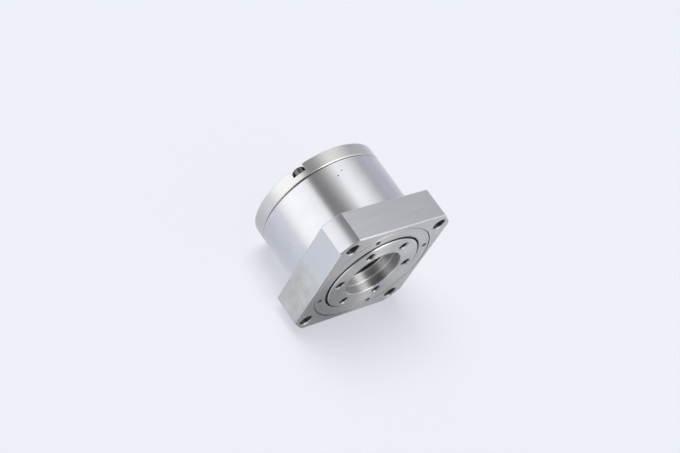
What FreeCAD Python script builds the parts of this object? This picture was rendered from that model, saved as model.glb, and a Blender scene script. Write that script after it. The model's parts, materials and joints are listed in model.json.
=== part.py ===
import FreeCAD, Part
import math
import os
import re

import Sketcher

# Strain wave gearbox with a square output flange, in millimetres and degrees.
#
# The axis runs along Y. The origin is on the axis, in the plane of the flange's mounting face; the output
# disc looks along -Y, the motor side along +Y, and the flange's flat sides face X and Z.
#
# Every piece is drawn standing on its rear face, with its own axis on Z and the output side up. It is then
# laid down along Y, with its rear face at a depth behind the mounting face.

SIZES = {
    # Gear: external teeth on the flexible cup, two more internal teeth on the fixed ring
    "tooth_module": 0.35,
    "addendum": 0.26,
    "cup_dedendum": 0.30,
    "ring_dedendum": 0.31,
    "flank_angle": 25.0,
    "flank_play": 0.03,
    # Flexible cup
    "rim_wall": 0.7,
    "rim_length": 5.9,
    "cup_wall": 0.4,
    "diaphragm_thick": 0.5,
    "diaphragm_set": 0.6,
    "boss_thick": 2.8,
    "boss_rim": 2.5,
    "mesh_past": 2.55,
    # Fixed ring, whose flange closes the barrel and carries the motor
    "end_ring_thick": 5.2,
    "spigot_wall": 1.8,
    "spigot_length": 2.65,
    "spigot_step": 0.6,
    "spigot_room": 0.35,
    "recess_step": 0.44,
    "motor_recess": 2.2,
    "motor_thread_inset": 2.4,
    "motor_thread_dia": 2.5,
    "motor_thread_depth": 4.2,
    "pocket_width": 4.8,
    "pocket_depth": 2.8,
    "seal_groove_set": 0.6,
    "seal_groove_width": 1.2,
    "seal_groove_depth": 0.8,
    # Housing
    "body_length": 32.35,
    "barrel_wall": 4.35,
    "flange_thick": 11.8,
    "flange_lip": 0.65,
    "flange_wall": 1.6,
    "corner_reach": 6.7,
    "mount_inset": 3.7,
    "mount_dia": 4.8,
    "edge_break": 0.4,
    "fine_break": 0.2,
    "mouth_break": 0.4,
    "seam_break": 0.35,
    # Retaining ring and shaft seal
    "ring_thick": 3.2,
    "lip_gap": 0.65,
    "spanner_inset": 2.07,
    "spanner_dia": 1.4,
    "spanner_break": 0.3,
    "spanner_depth": 1.4,
    "spanner_angle": 23.8,
    "seal_width": 1.1,
    "seal_depth": 1.9,
    "seal_lip": 0.5,
    "seal_heel": 0.7,
    # Crossed roller bearing
    "bearing_width": 7.0,
    "bearing_gap": 0.6,
    "roller_dia": 2.6,
    "roller_length": 2.5,
    "roller_offset": 1.5,
    "spacer_dia": 2.2,
    # Output disc
    "disc_overhang": 0.75,
    "disc_proud": 0.46,
    "race_inset": 0.2,
    "hub_height": 0.6,
    "pilot_dia": 22.1,
    "pilot_depth": 3.33,
    "throat_step": 0.65,
    "throat_depth": 3.03,
    "plug_step": 0.8,
    "plug_set": 0.4,
    "plug_thick": 2.5,
    "plug_web": 1.2,
    "out_thread_dia": 3.3,
    "out_thread_depth": 7.0,
    "out_angle": 3.5,
    # Cup clamp ring
    "clamp_thick": 1.6,
    "screw_land": 2.3,
    # Wave generator
    "wave_inset": 0.4,
    "wave_width": 5.0,
    "race_thick": 1.0,
    "track_depth": 0.25,
    "track_width": 2.4,
    "ball_dia": 2.9,
    "cage_thick": 0.7,
    "cage_inset": 0.4,
    "cam_wall": 1.5,
    "input_dia": 8.0,
    "hub_wall": 2.0,
    "hub_flange": 1.6,
    "collar_wall": 2.4,
    "collar_inset": 0.15,
    # Screws and dowels
    "cup_screw_dia": 2.5,
    "cup_screw_head": 4.5,
    "cup_screw_height": 2.5,
    "cup_screw_length": 8.0,
    "cup_screw_socket": 2.0,
    "end_screw_dia": 2.5,
    "end_screw_head": 4.5,
    "end_screw_height": 2.5,
    "end_screw_length": 6.0,
    "end_screw_socket": 2.0,
    "end_screw_inset": 1.9,
    "hub_screw_dia": 2.0,
    "hub_screw_head": 3.2,
    "hub_screw_height": 1.4,
    "hub_screw_length": 4.4,
    "hub_screw_socket": 1.3,
    "grub_dia": 2.0,
    "grub_length": 2.1,
    "grub_socket": 0.9,
    "dowel_dia": 2.0,
    "dowel_length": 5.0,
    # Clearances, each on the radius or on one side
    "slip": 0.04,
    "fit": 0.02,
    "roller_play": 0.03,
    "spacer_play": 0.15,
    "seal_play": 0.08,
    "ball_play": 0.05,
    "cage_play": 0.1,
    "thread_play": 0.03,
    "screw_play": 0.1,
    "tip_room": 0.4,
}

# Counts
FLEX_TEETH = 100
RING_TEETH = FLEX_TEETH + 2
MOUNT_HOLES = 4
SPANNER_HOLES = 4
OUTPUT_HOLES = 6
CUP_SCREWS = 6
END_SCREWS = 4
MOTOR_HOLES = 4
HUB_SCREWS = 4
GRUB_SCREWS = 2
DOWELS = 2
ROLLERS = 30
BALLS = 19
HEX_SIDES = 6

# Turns, in degrees
FULL_TURN = 360
QUARTER = 90
ROLLER_LEAN = 45

# First angle of each ring of holes, in degrees from the flat side that faces +X
DIAGONAL = "45"
SQUARE = "0"
DOWEL_ANGLE = "22.5"
CUP_SCREW_ANGLE = f"(out_angle + {FULL_TURN / OUTPUT_HOLES / 2})"

# Radii, from the gear outwards
WAVE = "tooth_module"
CUP_PITCH_R = f"(tooth_module * {FLEX_TEETH} / 2)"
RING_PITCH_R = f"(tooth_module * {RING_TEETH} / 2)"
CUP_BORE_R = f"({CUP_PITCH_R} - cup_dedendum - rim_wall)"
CUP_WALL_R = f"({CUP_BORE_R} + cup_wall)"
RING_ROOT_R = f"({RING_PITCH_R} + ring_dedendum)"
RING_CORE_R = f"({RING_PITCH_R} - 2 * addendum)"
RECESS_R = f"({RING_ROOT_R} + recess_step)"
SPIGOT_R = f"({RING_ROOT_R} + spigot_wall)"
SPIGOT_SEAT_R = f"({SPIGOT_R} + slip)"
CAVITY_R = f"({SPIGOT_SEAT_R} - spigot_step)"
END_SCREW_R = f"({SPIGOT_SEAT_R} + end_screw_inset)"
BARREL_R = f"({SPIGOT_SEAT_R} + barrel_wall)"
MOTOR_R = f"({RECESS_R} + motor_thread_inset)"
FLANGE_HALF = f"({BARREL_R} + flange_lip)"
CORNER_R = f"({FLANGE_HALF} + corner_reach)"
MOUNT_R = f"({CORNER_R} - mount_inset)"
SEAT_R = f"({FLANGE_HALF} - flange_wall)"
RING_R = f"({SEAT_R} - slip)"
SPANNER_R = f"({RING_R} - spanner_inset)"

# Radii of the output side
DISC_R = f"({CUP_PITCH_R} + disc_overhang)"
LIP_R = f"({DISC_R} + lip_gap)"
SEAL_SEAT_R = f"({LIP_R} + seal_width)"
ROLLER_PITCH_R = f"({DISC_R} + roller_offset)"
APEX = "((roller_dia / 2 + roller_play) * sqrt(2))"
OUTER_APEX_R = f"({ROLLER_PITCH_R} + {APEX})"
INNER_APEX_R = f"({ROLLER_PITCH_R} - {APEX})"
OUTER_RACE_R = f"({ROLLER_PITCH_R} + bearing_gap / 2)"
INNER_RACE_R = f"({ROLLER_PITCH_R} - bearing_gap / 2)"
PILOT_R = "(pilot_dia / 2)"
THROAT_R = f"({PILOT_R} - throat_step)"
PLUG_R = f"({THROAT_R} - plug_step)"
OUT_THREAD_R = f"(({PILOT_R} + {DISC_R}) / 2)"
CUP_SCREW_R = f"({PLUG_R} + screw_land)"
BOSS_R = f"({CUP_SCREW_R} + boss_rim)"

# Radii of the wave generator, from the cup inwards; each is the mean of an oval
OUTER_OVAL_R = f"({CUP_BORE_R} - fit)"
OUTER_LAND_R = f"({OUTER_OVAL_R} - race_thick)"
OUTER_TRACK_R = f"({OUTER_LAND_R} + track_depth)"
BALL_PITCH_R = f"({OUTER_TRACK_R} - ball_play - ball_dia / 2)"
INNER_TRACK_R = f"({BALL_PITCH_R} - ball_play - ball_dia / 2)"
INNER_LAND_R = f"({INNER_TRACK_R} + track_depth)"
INNER_OVAL_R = f"({INNER_LAND_R} - race_thick)"
CAM_R = f"({INNER_OVAL_R} - fit)"
HUB_FLANGE_R = f"({CAM_R} - {WAVE} - cam_wall)"
INPUT_R = "(input_dia / 2)"
HUB_R = f"({INPUT_R} + hub_wall)"
COLLAR_R = f"({INPUT_R} + collar_wall)"
HUB_SCREW_R = f"(({COLLAR_R} + {HUB_FLANGE_R}) / 2)"

# Depths behind the mounting face
SEAT_DEPTH = "(ring_thick + bearing_width)"
SPLIT_DEPTH = "(ring_thick + bearing_width / 2)"
RACE_DEPTH = f"({SEAT_DEPTH} - race_inset)"
HUB_DEPTH = f"({RACE_DEPTH} + hub_height)"
DISC_LENGTH = f"({HUB_DEPTH} + disc_proud)"
PLUG_DEPTH = "(pilot_depth + throat_depth - disc_proud + plug_set + plug_thick)"
BOSS_DEPTH = f"({HUB_DEPTH} + boss_thick)"
CLAMP_DEPTH = f"({BOSS_DEPTH} + clamp_thick)"
CUP_END = "(body_length + mesh_past)"
CUP_LENGTH = f"({CUP_END} - {HUB_DEPTH})"
BACK_DEPTH = "(body_length + end_ring_thick)"
POCKET_FLOOR = f"({BACK_DEPTH} - pocket_depth)"
WAVE_DEPTH = f"({CUP_END} - wave_inset)"
COLLAR_LENGTH = f"({BACK_DEPTH} - collar_inset - {WAVE_DEPTH})"
HUB_LENGTH = f"({COLLAR_LENGTH} + wave_width)"

# No height or no distance from the axis
ZERO = "0"

# A cutting tool passes the face that it opens by this much
REACH = "1"

# Lengths and volumes that differ by less than this are the same
SAME = 1e-6

X_AXIS = FreeCAD.Vector(1, 0, 0)
Y_AXIS = FreeCAD.Vector(0, 1, 0)
Z_AXIS = FreeCAD.Vector(0, 0, 1)
LAID_DOWN = FreeCAD.Rotation(X_AXIS, QUARTER)

# How a sketch numbers its origin, its axes and the points of a line or circle
ORIGIN = -1
START = 1
END = 2
CENTRE = 3
H_AXIS = -1
V_AXIS = -2

doc = FreeCAD.newDocument("StrainWaveGearbox")
sheet = doc.addObject("Spreadsheet::Sheet", "Sizes")
nodes = {}


def fill_sheet():
    """Write each driving size to a cell of its own, under its alias."""
    for row, (alias, size) in enumerate(SIZES.items(), start=1):
        sheet.set(f"A{row}", str(size))
        sheet.setAlias(f"A{row}", alias)
    doc.recompute()


def formula(text):
    """Turn a formula in sheet aliases into an expression that any object can hold."""
    def cell(match):
        word = match.group()
        return f"Sizes.{word}" if word in SIZES else word
    return re.sub(r"[a-z_]+", cell, text)


def value(text):
    """The number that a formula gives now."""
    return float(sheet.evalExpression(formula(text)))


def bind(target, name, text):
    """Tie one property of an object to a formula."""
    target.setExpression(name, formula(text))


def seat(piece, label, depth):
    """Lay a piece along the axis, its rear face at a depth, and list it as a node."""
    piece.Placement = FreeCAD.Placement(FreeCAD.Vector(0, value(depth), 0), LAID_DOWN)
    bind(piece, "Placement.Base.y", depth)
    piece.Label = label
    nodes[label] = piece
    return piece


# Sketches and features


def new_body(name):
    return doc.addObject("PartDesign::Body", name)


def origin_feature(body, role):
    for feature in body.Origin.OriginFeatures:
        if feature.Role == role:
            return feature
    raise ValueError(role)


def new_sketch(body, name, role, lift=None, turn=None):
    """A sketch on one of the body's planes, lifted along and turned about the plane's normal."""
    sketch = body.newObject("Sketcher::SketchObject", name)
    sketch.AttachmentSupport = [(origin_feature(body, role), "")]
    sketch.MapMode = "FlatFace"
    if turn is not None:
        sketch.AttachmentOffset = FreeCAD.Placement(FreeCAD.Vector(), FreeCAD.Rotation(Z_AXIS, value(turn)))
    if lift is not None:
        bind(sketch, "AttachmentOffset.Base.z", lift)
    return sketch


def hold_across(sketch, line, end, across):
    """Hold one point of a line at a distance across from the origin, given as a formula."""
    hold(sketch, "DistanceX", V_AXIS, line, end, across)


def hold_up(sketch, line, end, up):
    """Hold one point of a line at a distance up from the origin, given as a formula."""
    hold(sketch, "DistanceY", H_AXIS, line, end, up)


def hold(sketch, kind, axis, line, end, text):
    """Tie a point's distance to a formula, or put it on the axis where the formula gives nothing."""
    if abs(value(text)) < SAME:
        sketch.addConstraint(Sketcher.Constraint("PointOnObject", line, end, axis))
        return
    number = sketch.addConstraint(Sketcher.Constraint(kind, ORIGIN, START, line, end, value(text)))
    bind(sketch, f"Constraints[{number}]", text)


def place_point(sketch, line, end, across, up):
    """Hold one point of a line at a distance across and up from the origin."""
    hold_across(sketch, line, end, across)
    hold_up(sketch, line, end, up)


def draw_outline(sketch, corners):
    """Close a chain of straight lines through corners given as pairs of formulas."""
    points = [FreeCAD.Vector(value(across), value(up), 0) for across, up in corners]
    count = len(points)
    for line in range(count):
        sketch.addGeometry(Part.LineSegment(points[line], points[(line + 1) % count]))
    for line in range(count):
        sketch.addConstraint(Sketcher.Constraint("Coincident", line, END, (line + 1) % count, START))
    for line, (across, up) in enumerate(corners):
        place_point(sketch, line, START, across, up)


def draw_circle(sketch, dia, across=ZERO, up=ZERO):
    """A circle with its centre across and up from the origin."""
    centre = FreeCAD.Vector(value(across), value(up), 0)
    circle = sketch.addGeometry(Part.Circle(centre, Z_AXIS, value(dia) / 2))
    size = sketch.addConstraint(Sketcher.Constraint("Diameter", circle, value(dia)))
    bind(sketch, f"Constraints[{size}]", dia)
    place_point(sketch, circle, CENTRE, across, up)


def revolve(body, name, corners, cuts=False):
    """Turn an outline of (radius, height) corners about the body's axis, as a solid or as a cut."""
    before = body.Shape.Volume if cuts else 0.0
    sketch = new_sketch(body, f"{name}Outline", "XZ_Plane")
    draw_outline(sketch, corners)
    kind = "PartDesign::Groove" if cuts else "PartDesign::Revolution"
    feature = body.newObject(kind, name)
    feature.Profile = sketch
    feature.ReferenceAxis = (sketch, ["V_Axis"])
    feature.Angle = FULL_TURN
    return settle(body, feature, before, cuts)


def settle(body, feature, before, cuts):
    """Make a feature the body's tip, and see that a cut took material away or an addition brought some."""
    body.Tip = feature
    doc.recompute()
    change = body.Shape.Volume - before
    if (change < 0) != cuts or abs(change) < SAME:
        raise RuntimeError(f"{body.Name}.{feature.Name} changes the volume by {change}")
    return feature


def pad(body, name, draw, length, lift=None):
    """Raise the outline that draw puts on a sketch by a length."""
    before = body.Shape.Volume if body.Tip else 0.0
    sketch = new_sketch(body, f"{name}Outline", "XY_Plane", lift)
    draw(sketch)
    feature = body.newObject("PartDesign::Pad", name)
    feature.Profile = sketch
    bind(feature, "Length", length)
    return settle(body, feature, before, False)


def pocket(body, name, draw, depth, lift=None, turn=None, up=False, role="XY_Plane"):
    """Sink the outline that draw puts on a sketch, down from a lifted plane or up from the rear face."""
    before = body.Shape.Volume
    sketch = new_sketch(body, f"{name}Outline", role, lift, turn)
    draw(sketch)
    feature = body.newObject("PartDesign::Pocket", name)
    feature.Profile = sketch
    feature.Reversed = up
    bind(feature, "Length", depth)
    return settle(body, feature, before, True)


def repeat(body, first, count, angle=FULL_TURN):
    """Repeat a cut evenly about the body's axis."""
    before = body.Shape.Volume
    pattern = body.newObject("PartDesign::PolarPattern", f"{first.Name}Ring")
    pattern.Originals = [first]
    pattern.Axis = (origin_feature(body, "Z_Axis"), [""])
    pattern.Angle = angle
    pattern.Occurrences = count
    return settle(body, pattern, before, True)


def holes(body, name, dia, radius, depth, count, turn=SQUARE, lift=None, up=False):
    """A ring of round holes."""
    def draw(sketch):
        draw_circle(sketch, dia, radius)
    first = pocket(body, name, draw, depth, lift, turn, up)
    return repeat(body, first, count)


def break_edges(body, name, size, wanted):
    """Chamfer the edges that wanted picks."""
    before = body.Shape.Volume
    tip = body.Tip
    picked = [f"Edge{number}" for number, edge in enumerate(tip.Shape.Edges, start=1) if wanted(edge)]
    feature = body.newObject("PartDesign::Chamfer", name)
    feature.Base = (tip, picked)
    bind(feature, "Size", size)
    return settle(body, feature, before, True)


def in_plane(edge, height):
    """Whether an edge lies in the plane at a height."""
    box = edge.BoundBox
    return abs(box.ZMin - height) < SAME and abs(box.ZMax - height) < SAME


def rim_of(dia, height):
    """A test for the round edges of one diameter in the plane at a height."""
    radius = value(dia) / 2
    level = value(height)

    def wanted(edge):
        round_edge = isinstance(edge.Curve, Part.Circle)
        return round_edge and abs(edge.Curve.Radius - radius) < SAME and in_plane(edge, level)
    return wanted


# Solids that follow the oval of the wave generator


def oval(name, radius, height):
    """One oval section: a circle of that radius pushed out by the wave along X and in along Y."""
    curve = doc.addObject("Part::Ellipse", name)
    bind(curve, "MajorRadius", f"{radius} + {WAVE}")
    bind(curve, "MinorRadius", f"{radius} - {WAVE}")
    bind(curve, "Placement.Base.z", height)
    return curve


def circle(name, radius, height):
    curve = doc.addObject("Part::Circle", name)
    bind(curve, "Radius", radius)
    bind(curve, "Placement.Base.z", height)
    return curve


def loft(name, sections):
    """A solid with straight sides from each section to the next."""
    solid = doc.addObject("Part::Loft", name)
    solid.Sections = sections
    solid.Solid = True
    solid.Ruled = True
    return solid


def oval_solid(name, sections):
    """A solid through ovals given as (radius, height) pairs."""
    return loft(name, [oval(f"{name}Oval{n}", radius, height) for n, (radius, height) in enumerate(sections)])


def cylinder(name, radius, height, lift):
    solid = doc.addObject("Part::Cylinder", name)
    bind(solid, "Radius", radius)
    bind(solid, "Height", height)
    bind(solid, "Placement.Base.z", lift)
    return solid


def put_round(solid, radius, angle):
    """Tie a solid's place to a radius and to an angle about the axis."""
    bind(solid, "Placement.Base.x", f"{radius} * cos({angle} deg)")
    bind(solid, "Placement.Base.y", f"{radius} * sin({angle} deg)")


def compound(name, solids):
    group = doc.addObject("Part::Compound", name)
    group.Links = solids
    return group


def cut(name, base, tool):
    result = doc.addObject("Part::Cut", name)
    result.Base = base
    result.Tool = tool
    return result


def fuse(name, shapes):
    result = doc.addObject("Part::MultiFuse", name)
    result.Shapes = shapes
    return result


# Housing and what is fixed in it


def make_housing():
    """Square flange with turned corners in front, plain barrel behind, bored through in steps."""
    body = new_body("Housing")
    flange_foot = "(body_length - flange_thick)"
    half = FLANGE_HALF

    def square(sketch):
        draw_outline(sketch, [(f"-{half}", f"-{half}"), (half, f"-{half}"), (half, half), (f"-{half}", half)])

    def round_barrel(sketch):
        draw_circle(sketch, f"2 * {BARREL_R}")

    pad(body, "Barrel", round_barrel, flange_foot)
    pad(body, "Flange", square, "flange_thick", flange_foot)
    far = f"(2 * {CORNER_R})"
    turned_off = [
        (CORNER_R, flange_foot),
        (far, flange_foot),
        (far, "body_length"),
        (CORNER_R, "body_length"),
    ]
    revolve(body, "TurnedCorners", turned_off, cuts=True)
    front = value("body_length")
    foot = value(flange_foot)
    barrel_foot = rim_of(f"2 * {BARREL_R}", flange_foot)
    break_edges(body, "FrontEdges", "edge_break", lambda edge: in_plane(edge, front))
    break_edges(body, "BackEdges", "edge_break", lambda edge: in_plane(edge, foot) and not barrel_foot(edge))
    spigot_floor = "(spigot_length + spigot_room)"
    seat_floor = f"(body_length - {SEAT_DEPTH})"
    bores = [
        (ZERO, ZERO),
        (f"{SPIGOT_SEAT_R} + fine_break", ZERO),
        (SPIGOT_SEAT_R, "fine_break"),
        (SPIGOT_SEAT_R, spigot_floor),
        (CAVITY_R, spigot_floor),
        (CAVITY_R, seat_floor),
        (SEAT_R, seat_floor),
        (SEAT_R, "body_length"),
        (ZERO, "body_length"),
    ]
    revolve(body, "Bores", bores, cuts=True)
    holes(body, "MountHoles", "mount_dia", MOUNT_R, "flange_thick", MOUNT_HOLES, DIAGONAL, "body_length")
    break_edges(body, "MountMouths", "edge_break", rim_of("mount_dia", "body_length"))
    break_edges(body, "MountRears", "edge_break", rim_of("mount_dia", flange_foot))
    grip = "(end_screw_length - end_ring_thick + pocket_depth + tip_room)"
    holes(body, "EndThreads", "end_screw_dia", END_SCREW_R, grip, END_SCREWS, DIAGONAL, up=True)
    socket = "(dowel_length / 2 + tip_room / 2)"
    holes(body, "DowelHoles", "dowel_dia", END_SCREW_R, socket, DOWELS, DOWEL_ANGLE, up=True)
    break_edges(body, "BarrelEnd", "seam_break", rim_of(f"2 * {BARREL_R}", ZERO))
    return seat(body, "housing", "body_length")


def make_retainer_ring():
    """Screwed ring that holds the bearing, with four holes for a pin spanner."""
    body = new_body("RetainerRing")
    outline = [
        (SEAL_SEAT_R, ZERO),
        (RING_R, ZERO),
        (RING_R, "ring_thick - mouth_break"),
        (f"{RING_R} - mouth_break", "ring_thick"),
        (f"{LIP_R} + fine_break", "ring_thick"),
        (LIP_R, "ring_thick - fine_break"),
        (LIP_R, "seal_depth"),
        (SEAL_SEAT_R, "seal_depth"),
    ]
    revolve(body, "Ring", outline)
    holes(body, "SpannerHoles", "spanner_dia", SPANNER_R, "spanner_depth", SPANNER_HOLES, "spanner_angle",
          "ring_thick")
    break_edges(body, "SpannerMouths", "spanner_break", rim_of("spanner_dia", "ring_thick"))
    return seat(body, "retainer_ring", "ring_thick")


def make_output_seal():
    """Rubber lip seal in the back of the retaining ring: a heel, and a lip round the output disc."""
    body = new_body("OutputSeal")
    heel_r = f"({SEAL_SEAT_R} - fit)"
    web_r = f"({heel_r} - seal_heel)"
    lip_r = f"({DISC_R} + seal_play)"
    top = "(seal_depth - fit)"
    outline = [
        (web_r, ZERO),
        (heel_r, ZERO),
        (heel_r, top),
        (web_r, top),
        (lip_r, f"{top} - seal_lip"),
        (lip_r, f"{top} - 2 * seal_lip"),
        (web_r, f"{top} - seal_lip"),
    ]
    revolve(body, "Lip", outline)
    return seat(body, "output_seal", "ring_thick")


def make_bearing_rings():
    """The two halves of the split outer ring, with the V track between them."""
    half = "(bearing_width / 2)"
    slope = f"({OUTER_APEX_R} - {OUTER_RACE_R})"
    rear = new_body("BearingOuterRingRear")
    rear_outline = [
        (OUTER_RACE_R, ZERO),
        (RING_R, ZERO),
        (RING_R, half),
        (OUTER_APEX_R, half),
        (OUTER_RACE_R, f"{half} - {slope}"),
    ]
    revolve(rear, "RearHalf", rear_outline)
    seat(rear, "bearing_outer_ring_rear", SEAT_DEPTH)
    front = new_body("BearingOuterRingFront")
    front_outline = [
        (OUTER_APEX_R, ZERO),
        (RING_R, ZERO),
        (RING_R, half),
        (OUTER_RACE_R, half),
        (OUTER_RACE_R, slope),
    ]
    revolve(front, "FrontHalf", front_outline)
    seat(front, "bearing_outer_ring_front", SPLIT_DEPTH)


def tooth_ring(count, wave, pitch, inner, outer, width):
    """Corners of a ring of straight-sided teeth or spaces that narrow outwards.

    Each size is a formula: inner and outer are the heights below and above the pitch radius, width is half
    the width there, and wave is how far the oval pushes the ring out along X. Each tooth also leans back
    round the oval, which keeps the length of the ring."""
    push = value(wave)
    pitch_r = value(pitch)
    foot = -value(inner)
    tip = value(outer)
    half_width = value(width)
    slope = math.tan(math.radians(value("flank_angle")))
    corners = []
    for number in range(count):
        place = 2 * math.pi * number / count
        radius = pitch_r + push * math.cos(2 * place)
        angle = place - push / (2 * pitch_r) * math.sin(2 * place)
        for height, side in ((foot, -1), (tip, -1), (tip, 1), (foot, 1)):
            across = side * (half_width - height * slope)
            along = radius + height
            corners.append(FreeCAD.Vector(
                along * math.cos(angle) - across * math.sin(angle),
                along * math.sin(angle) + across * math.cos(angle),
                0))
    return corners


def prism(name, corners, height, lift):
    """A toothed prism, which has no sketch because its outline is worked out tooth by tooth."""
    feature = doc.addObject("Part::Feature", name)
    face = Part.Face(Part.makePolygon(corners + corners[:1]))
    feature.Shape = face.extrude(Z_AXIS * value(height))
    feature.Placement.Base.z = value(lift)
    return feature


def make_circular_spline():
    """Fixed ring: internal teeth in a spigot, and a flange that closes the barrel and takes the motor."""
    body = new_body("CircularSplineBlank")
    groove_foot = "(end_ring_thick + seal_groove_set)"
    groove_top = f"({groove_foot} + seal_groove_width)"
    groove_r = f"({SPIGOT_R} - seal_groove_depth)"
    top = "(end_ring_thick + spigot_length)"
    outline = [
        (RECESS_R, ZERO),
        (f"{BARREL_R} - fine_break", ZERO),
        (BARREL_R, "fine_break"),
        (BARREL_R, "end_ring_thick - seam_break"),
        (f"{BARREL_R} - seam_break", "end_ring_thick"),
        (SPIGOT_R, "end_ring_thick"),
        (SPIGOT_R, groove_foot),
        (groove_r, groove_foot),
        (groove_r, groove_top),
        (SPIGOT_R, groove_top),
        (SPIGOT_R, f"{top} - fine_break"),
        (f"{SPIGOT_R} - fine_break", top),
        (RING_CORE_R, top),
        (RING_CORE_R, "motor_recess"),
        (RECESS_R, "motor_recess"),
    ]
    revolve(body, "Blank", outline)

    def open_pocket(sketch):
        """U-shaped outline, round at the screw and open past the rim."""
        half = "pocket_width / 2"
        past = f"{BARREL_R} + {REACH}"
        inner = FreeCAD.Vector(value(END_SCREW_R), 0, 0)
        side = value(half)
        far = value(past)
        low = FreeCAD.Vector(inner.x, -side, 0)
        high = FreeCAD.Vector(inner.x, side, 0)
        bend = FreeCAD.Vector(inner.x - side, 0, 0)
        sketch.addGeometry(Part.LineSegment(low, FreeCAD.Vector(far, -side, 0)))
        sketch.addGeometry(Part.LineSegment(FreeCAD.Vector(far, -side, 0), FreeCAD.Vector(far, side, 0)))
        sketch.addGeometry(Part.LineSegment(FreeCAD.Vector(far, side, 0), high))
        sketch.addGeometry(Part.Arc(high, bend, low))
        for line in range(2):
            sketch.addConstraint(Sketcher.Constraint("Coincident", line, END, line + 1, START))
        place_point(sketch, 0, START, END_SCREW_R, f"-{half}")
        place_point(sketch, 1, START, past, f"-{half}")
        place_point(sketch, 2, START, past, half)
        place_point(sketch, 2, END, END_SCREW_R, half)
        sketch.addConstraint(Sketcher.Constraint("Coincident", 2, END, 3, START))
        sketch.addConstraint(Sketcher.Constraint("Coincident", 3, END, 0, START))
        hold_across(sketch, 3, CENTRE, END_SCREW_R)

    first = pocket(body, "ScrewPockets", open_pocket, "pocket_depth", turn=DIAGONAL, up=True)
    repeat(body, first, END_SCREWS)
    clear = "(end_screw_dia + 2 * screw_play)"
    holes(body, "ScrewHoles", clear, END_SCREW_R, "end_ring_thick", END_SCREWS, DIAGONAL, up=True)
    holes(body, "MotorThreads", "motor_thread_dia", MOTOR_R, "motor_thread_depth", MOTOR_HOLES, up=True)
    break_edges(body, "MotorMouths", "fine_break", rim_of("motor_thread_dia", ZERO))
    socket = "(dowel_length / 2 + tip_room / 2)"
    holes(body, "DowelHoles", "dowel_dia", END_SCREW_R, socket, DOWELS, DOWEL_ANGLE, "end_ring_thick")
    width = "pi * tooth_module / 4 + flank_play"
    spaces = tooth_ring(RING_TEETH, ZERO, RING_PITCH_R, "addendum", "ring_dedendum", width)
    tool = prism("ToothSpaces", spaces, top, ZERO)
    return seat(cut("CircularSpline", body, tool), "circular_spline", BACK_DEPTH)


def make_spline_seal():
    """Square rubber ring in the groove of the fixed ring's spigot."""
    body = new_body("SplineSealRing")
    inner = f"({SPIGOT_R} - seal_groove_depth + fit)"
    height = "(seal_groove_width - 2 * fit)"
    revolve(body, "Square", [(inner, ZERO), (SPIGOT_R, ZERO), (SPIGOT_R, height), (inner, height)])
    return seat(body, "spline_seal_ring", "body_length - seal_groove_set - fit")


# Output side


def make_rolling_pieces():
    """Rollers lying crosswise in the V track, each turned a quarter from the next, with spacers between."""
    pitch_r = value(ROLLER_PITCH_R)
    step = FULL_TURN / ROLLERS
    chord = f"(2 * {ROLLER_PITCH_R} * sin({step / 2} deg))"
    spacer_length = f"({chord} - roller_dia - 2 * spacer_play)"
    rollers = []
    spacers = []
    for number in range(ROLLERS):
        angle = number * step
        lean = ROLLER_LEAN if number % 2 else ROLLER_LEAN + QUARTER
        roller = doc.addObject("Part::Cylinder", f"Roller{number}")
        bind(roller, "Radius", "roller_dia / 2")
        bind(roller, "Height", "roller_length")
        turn = FreeCAD.Rotation(Z_AXIS, angle).multiply(FreeCAD.Rotation(Y_AXIS, lean))
        middle = FreeCAD.Rotation(Z_AXIS, angle).multVec(X_AXIS * pitch_r)
        roller.Placement = FreeCAD.Placement(middle - turn.multVec(Z_AXIS * value("roller_length / 2")), turn)
        rollers.append(roller)
        spacer = doc.addObject("Part::Cylinder", f"Spacer{number}")
        bind(spacer, "Radius", "spacer_dia / 2")
        bind(spacer, "Height", spacer_length)
        turn = FreeCAD.Rotation(Z_AXIS, angle + step / 2).multiply(FreeCAD.Rotation(X_AXIS, -QUARTER))
        middle = FreeCAD.Rotation(Z_AXIS, angle + step / 2).multVec(X_AXIS * pitch_r)
        half = turn.multVec(Z_AXIS * value(f"{spacer_length} / 2"))
        spacer.Placement = FreeCAD.Placement(middle - half, turn)
        spacers.append(spacer)
    seat(compound("CrossedRollers", rollers), "crossed_rollers", SPLIT_DEPTH)
    seat(compound("RollerSpacers", spacers), "roller_spacers", SPLIT_DEPTH)


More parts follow.
